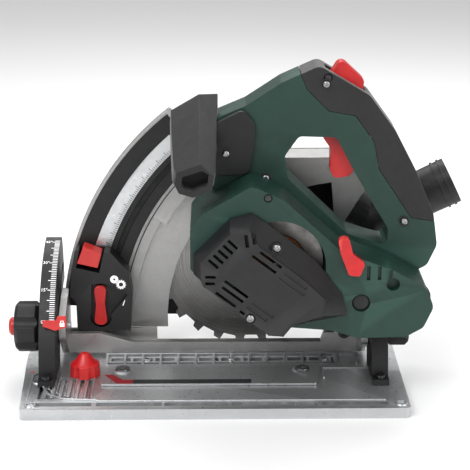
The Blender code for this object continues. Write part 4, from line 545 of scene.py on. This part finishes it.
for node, (finish, width) in FINISHES.items():
    if width:
        refined(node, finish, width * MM)
    else:
        frame["nodes"][node].data.materials.clear()
        frame["nodes"][node].data.materials.append(finish)


# ---------------------------------------------------------------- scales, signs and crescent

def on_rim(degrees, reach):
    """(y, z) in millimetres on the front quadrant, at a bevel angle and a reach beyond its rim."""
    angle = RIM_TURN + math.radians(degrees)
    radius = QUADRANT_RADIUS / MM + reach
    return BEVEL_Y / MM - radius * math.cos(angle), radius * math.sin(angle)


def make_bevel_scale():
    marks = Form()
    for degrees in range(BEVEL_SCALE_END + 1):
        start = BEVEL_LONG_MARK if degrees % 5 == 0 else BEVEL_MARK
        marks.bar(on_rim(degrees, -0.3), on_rim(degrees, 0.12), 0.55, start, BEVEL_MARK_END, "X")
    for degrees in range(0, BEVEL_SCALE_END, 15):
        y, z = on_rim(degrees, 0.1)
        angle = RIM_TURN + math.radians(degrees)
        up = (0, math.sin(angle), math.cos(angle))
        marks.text(f"{degrees}\u00b0", 4.2, (BEVEL_FIGURES_X, y, z), (1, 0, 0), up)
    marks.done("bevel_scale_marks", "base", WHITE, 0)


def make_depth_marks():
    ticks = Form()
    hub = Vector((PLUNGE_PIVOT.x, PLUNGE_PIVOT.z)) / MM
    for step in DEPTH_MARKS:
        angle = math.radians(180 - step / 2)
        along = Vector((math.cos(angle), math.sin(angle)))
        top = DEPTH_LONG_TOP if step % 5 == 0 else DEPTH_MARK_TOP
        ticks.bar(hub + along * DEPTH_MARK_FOOT, hub + along * top, 0.4, *DEPTH_MARK_SPAN)
    ticks.done("depth_scale_marks", "bevel_frame", BLACK, 0)


def make_stop_marks():
    """The cutting blade, the plain disc and the figure that name the lever's two places."""
    marks = Form()
    ring = [(math.cos(math.radians(a)), math.sin(math.radians(a))) for a in range(0, 360, 15)]
    for x, z, toothed in STOP_SIGNS:
        inner = 1.9 if toothed else 1.0
        for i, (c, d) in enumerate(ring):
            e, f = ring[(i + 1) % len(ring)]
            out = STOP_SIGN_RADIUS + (STOP_SIGN_TOOTH if toothed and i % 2 else 0)
            marks.prism([
                (x + out * c, z + out * d), (x + out * e, z + out * f),
                (x + inner * e, z + inner * f), (x + inner * c, z + inner * d),
            ], *STOP_SIGN_FACE)
    marks.text("1", 8, (-80.6, 26.5, 57), (0.94, 0, -0.34), (0.34, 0, 0.94))
    marks.done("stop_marks", "depth_slide", WHITE, 0)


def make_pointer_mark():
    low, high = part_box("bevel_pointer")
    lock = Form()
    x, y, z = -129.5, low.y / MM, (low.z + high.z) / 2 / MM
    lock.block((x - 2, y - 0.15, z - 2.6), (x + 2, y + 0.2, z + 0.6))
    for side in (-1.5, 0.9):
        lock.block((x + side, y - 0.15, z + 0.6), (x + side + 0.6, y + 0.2, z + 2.4))
    lock.block((x - 1.5, y - 0.15, z + 2.1), (x + 1.5, y + 0.2, z + 2.7))
    lock.done("pointer_lock_sign", "bevel_frame", WHITE, 0)


def make_crescent_trim():
    rim = Form()
    rim.prism(about_pivot(*RIM_RADII, 4.2, 52), *RIM_SPAN)
    rim.prism(about_pivot(200, RIM_RADII[1], 51.2, 52.3, 2), 43.3, RIM_SPAN[1])
    rim.done("crescent_rim", "bevel_frame", CAST, 0.5)
    band = Form()
    band.prism(about_pivot(186, 199.4, *SHOULDER_ARC), 50.5, 53.5)
    band.done("hood_shoulder", "bevel_frame", CAST, 0.5)
    # The grooves are thin black strips standing just proud of the shoulder's face: painted shade
    # for the grooves' dark hollows.
    lines = Form()
    for inner, outer in GROOVES:
        lines.prism(about_pivot(inner, outer, *SHOULDER_ARC), *GROOVE_SPAN)
    lines.done("hood_groove_painted_shade", "bevel_frame", BLACK, 0)


# ---------------------------------------------------------------- base

def make_base_castings():
    studs = Form()
    for left in POCKET_ENDS[:-1]:
        for i in range(STUDS_IN_POCKET):
            x = left + 10 + STUD_PITCH * i
            studs.prism([(x + a, b) for a, b in STUD_SECTION], -83.5, -79)
    for x in POCKET_ENDS[1:-1]:
        studs.block((x - 1.4, -85.2, 3.8), (x + 1.4, -77.8, 9))
    studs.block((-99, -76.2, 9), (141, -74.4, 10.1))
    studs.block((92, -31, 9), (93.6, -9, 10.6))
    studs.block((92, -10.6, 9), (146, -9, 10.6))
    studs.done("base_ribs_front", "base", BRIGHT_CAST, 0.5)
    grate = Form()
    grate.block((-97, 17.6, 8), (127, 19.4, 12.6))
    for i in range(GRATE_RIBS):
        x = GRATE_START + GRATE_PITCH * i
        grate.prism(GRATE_SECTION, x, x + GRATE_RIB_WIDTH, "X")
    for x in (-60, 14, 96):
        grate.lathe([(4.2, 0), (3.6, 7.6), (2.0, 7.6), (2.0, 3)], (x, 9.5, 4), (0, 0, 1), 20)
    grate.done("base_grate", "base", BRIGHT_CAST, 0.4)
    bosses = Form()
    for x, y in SCREWS_ON_PLATE:
        bosses.lathe([(9.2, 0), (6.4, 1.6), (6.3, 0)], (x, y, 11.2), (0, 0, 1), 32)
    bosses.done("screw_seats", "base", BRIGHT_CAST, 0.2)


def make_base_pad():
    """The finger pad: six hooked ribs inside a rounded rim."""
    pad = Form()
    for i, drop in enumerate(PAD_RIB_DROPS):
        x = -140 + PAD_PITCH * i
        pad.bar((x, -22), (x, -52 - drop), 1.3, 9, 10.4, "Z")
        pad.bar((x, -52 - drop), (x + 3.2, -56 - drop), 1.3, 9, 10.4, "Z")
    for a, b in zip(PAD_RIM, PAD_RIM[1:]):
        pad.bar(a, b, 1.8, 8.8, 10.6, "Z")
    pad.done("finger_pad_ribs", "base", BRIGHT_CAST, 0.4)
    corners = Form()
    for x, y, radius in CORNER_SEATS:
        corners.lathe([
            (radius, 0), (radius - 0.8, 1.2), (radius - 2.2, 1.2), (radius - 2.4, -1),
        ], (x, y, 9.1), (0, 0, 1), 28)
    corners.block((-157, -70, 9), (-155.4, -24, 10.2))
    corners.bar((-157, -24), (-150, -14), 1.6, 9, 10.2, "Z")
    corners.done("corner_seats", "base", BRIGHT_CAST, 0.3)
    mark = Form()
    mark.block((-159.5, -14.5, 9.15), (-156.5, -12.6, 9.35))
    mark.done("cut_line_mark", "base", RED, 0)


def make_plate_strip():
    """The plain coloured strip on the adjustment plate; it carries no lettering."""
    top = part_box("adjustment_plate")[1].z / MM
    strip = Form()
    strip.prism([
        (-69.8, STRIP_NEAR), (30.5, STRIP_NEAR), (30.5, STRIP_FAR), (-69.8, STRIP_FAR),
    ], top, top + 0.15, "Z")
    strip.done("plate_strip", "base", SATIN_BLACK, 0)
    arrow = Form()
    arrow.prism([
        (-95, -26), (-87.5, -26), (-79, STRIP_FAR), (-69.9, STRIP_FAR), (-69.9, STRIP_NEAR),
        (-83.5, STRIP_NEAR),
    ], top, top + 0.18, "Z")
    arrow.done("plate_strip_tip", "base", DARK_RED, 0)


# ---------------------------------------------------------------- motor cover

def slot_at(form, middle, length, along, width, low, high):
    middle, along = Vector(middle), Vector(along).normalized()
    form.bar(middle - along * length / 2, middle + along * length / 2, width, low, high)


def make_motor_cover():
    shell = Form()
    rings = []
    centre = Vector(COVER_CENTRE)
    for y, inset, ring in COVER_RINGS:
        row = []
        for a, b in ring:
            point = Vector((a, b))
            point += (centre - point).normalized() * inset
            row.append(shell.mesh.verts.new(Vector((point.x, y, point.y)) * MM))
        rings.append(row)
    shell.skin(rings)
    back_y = COVER_RINGS[0][0] * MM
    back = [
        face for face in shell.mesh.faces if all(abs(v.co.y - back_y) < 1e-6 for v in face.verts)
    ]
    bmesh.ops.delete(shell.mesh, geom=back, context="FACES_ONLY")
    cover = shell.done("motor_cover_shell", "motor_head", SATIN_BLACK, 0)
    cover.modifiers.new("wall", "SOLIDIFY").thickness = COVER_WALL * MM
    slots = Form()
    for middle, length in LONG_VENTS + SHORT_VENTS:
        slot_at(slots, middle, length, COVER_SLOPE, 2.3, -84, -72)
    for middle, length in BLIND_VENTS:
        slot_at(slots, middle, length, COVER_SLOPE, 2.6, -84, -79.2)
    for i in range(5):
        slot_at(slots, (14.3 - 3.85 * i, 146.2 - 4.05 * i), 10.2, (0.72, -0.68), 2.4, -84, -66)
    slot_at(slots, (25.4, 149), 10.5, (0.12, -1), 3, -84, -72)
    slot_at(slots, (31.2, 150.8), 9, (0.16, -1), 3, -84, -72)
    slot_at(slots, (-3.6, 118.9), 8.4, (1, -0.03), 2.3, -84, -72)
    slot_at(slots, (-3.9, 113.4), 7.6, (1, 0), 2.3, -84, -72)
    for x, z in COVER_SCREWS:
        slots.lathe([(4.4, 0), (4.4, 6)], (x, -84, z), (0, 1, 0))
    cutter = slots.done("slot_cutter", "motor_head", SATIN_BLACK, 0)
    pierced = cover.modifiers.new("slots", "BOOLEAN")
    pierced.object, pierced.operation, pierced.solver = cutter, "DIFFERENCE", "EXACT"
    bpy.context.view_layer.update()
    ready = cover.evaluated_get(bpy.context.evaluated_depsgraph_get())
    cut_mesh = bpy.data.meshes.new_from_object(ready)
    cover.modifiers.clear()
    cover.data = cut_mesh
    bpy.data.objects.remove(cutter)
    show_edges(cover, 0.4 * MM)
    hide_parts("motor_cover")
    screws = Form()
    for (x, z), y in zip(COVER_SCREWS, (-73.5, -78.2)):
        screws.screw((x, y, z), (0, -1, 0), 3.4, 2.4)
    screws.done("motor_cover_screws", "motor_head", STEEL, 0)
    seats = Form()
    for (x, z), y, top, floor in zip(COVER_SCREWS, (-69.4, -73.4), (6.3, 5), (3, 1)):
        seats.lathe([(4.3, 0), (4.3, top), (3.5, top), (3.5, floor)], (x, y, z), (0, -1, 0))
    seats.done("motor_cover_screw_seats", "motor_head", BLACK, 0)


# ---------------------------------------------------------------- front handle, label and screws

def make_horn():
    horn = Form()
    rings = [
        [horn.mesh.verts.new(Vector((x, y, z)) * MM) for x, z in ring] for y, ring in HORN_RINGS
    ]
    for y in (-61.5, -48):
        rings.append([horn.mesh.verts.new(Vector((x, y, z)) * MM) for x, z in HORN_MOUTH])
    horn.skin(rings)
    piece = horn.done("front_handle_grip", "motor_head", RUBBER, 0)
    show_edges(piece, 2.0 * MM, 4)
    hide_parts("front_handle")


def make_head_details():
    label = Form()
    label.bar((43.5, 248.2), (59.2, 259.6), 2.6, 13.5, 19.5)
    label.done("type_plate_blank", "motor_head", WHITE, 0.3)
    screws = Form()
    for x, y, z, stand in HEAD_SCREWS:
        screws.screw((x, y - stand, z), (0, -1, 0), 2.9, 1.7)
    screws.done("head_screws", "motor_head", STEEL, 0)
    seats = Form()
    for x, y, z, _ in HEAD_SCREWS:
        seats.lathe([(4.5, 0), (4.5, 0.5), (3.4, 0.5), (3.4, 0)], (x, y, z), (0, -1, 0))
    seats.done("head_screw_seats", "motor_head", BLACK, 0)


make_bevel_scale()
make_depth_marks()
make_stop_marks()
make_pointer_mark()
make_crescent_trim()
make_base_castings()
make_base_pad()
make_plate_strip()
make_motor_cover()
make_horn()
make_head_details()


# ---------------------------------------------------------------- floor, light and camera

def make_stage():
    bpy.ops.mesh.primitive_plane_add(size=8, location=(0, 0, 0))
    floor = bpy.context.object
    floor.name = "floor"
    look = Finish("pale floor")
    look.colour(look.blend(look.noise(400 * MM, 2), (0.86, 0.86, 0.86), (0.89, 0.89, 0.89)))
    look.shader.inputs["Roughness"].default_value = 0.7
    floor.data.materials.append(look.material)
    make_world()


def make_world():
    """A studio that is dim towards the horizon and bright overhead."""
    world = bpy.data.worlds.new("studio")
    world.use_nodes = True
    nodes, links = world.node_tree.nodes, world.node_tree.links
    place = nodes.new("ShaderNodeTexCoord").outputs["Generated"]
    split = nodes.new("ShaderNodeSeparateXYZ")
    links.new(place, split.inputs["Vector"])
    ramp = nodes.new("ShaderNodeValToRGB")
    for stop, level in SKY_LEVELS:
        element = ramp.color_ramp.elements[0] if stop == 0 else ramp.color_ramp.elements.new(stop)
        element.position, element.color = stop, (level, level, level, 1)
    ramp.color_ramp.elements.remove(ramp.color_ramp.elements[-1])
    links.new(split.outputs["Z"], ramp.inputs["Fac"])
    links.new(ramp.outputs["Color"], nodes["Background"].inputs["Color"])
    nodes["Background"].inputs["Strength"].default_value = 0.8
    bpy.context.scene.world = world


def add_light(name, place, target, size, power):
    data = bpy.data.lights.new(name, "AREA")
    data.shape = "RECTANGLE"
    data.size, data.size_y = size
    data.energy = power
    lamp = bpy.data.objects.new(name, data)
    lamp.location = place
    aim = Vector(target) - Vector(place)
    lamp.rotation_euler = aim.to_track_quat("-Z", "Y").to_euler()
    bpy.context.scene.collection.objects.link(lamp)


def make_camera():
    data = bpy.data.cameras.new("camera")
    data.lens = CAMERA_LENS
    data.sensor_width = CAMERA_SENSOR
    camera = bpy.data.objects.new("camera", data)
    camera.location = CAMERA_PLACE
    camera.rotation_euler = (math.pi / 2 - CAMERA_PITCH, 0, -CAMERA_TURN)
    bpy.context.scene.collection.objects.link(camera)
    bpy.context.scene.camera = camera


make_stage()
for light in LIGHTS:
    add_light(*light)
make_camera()
bpy.context.scene.view_settings.view_transform = "Standard"
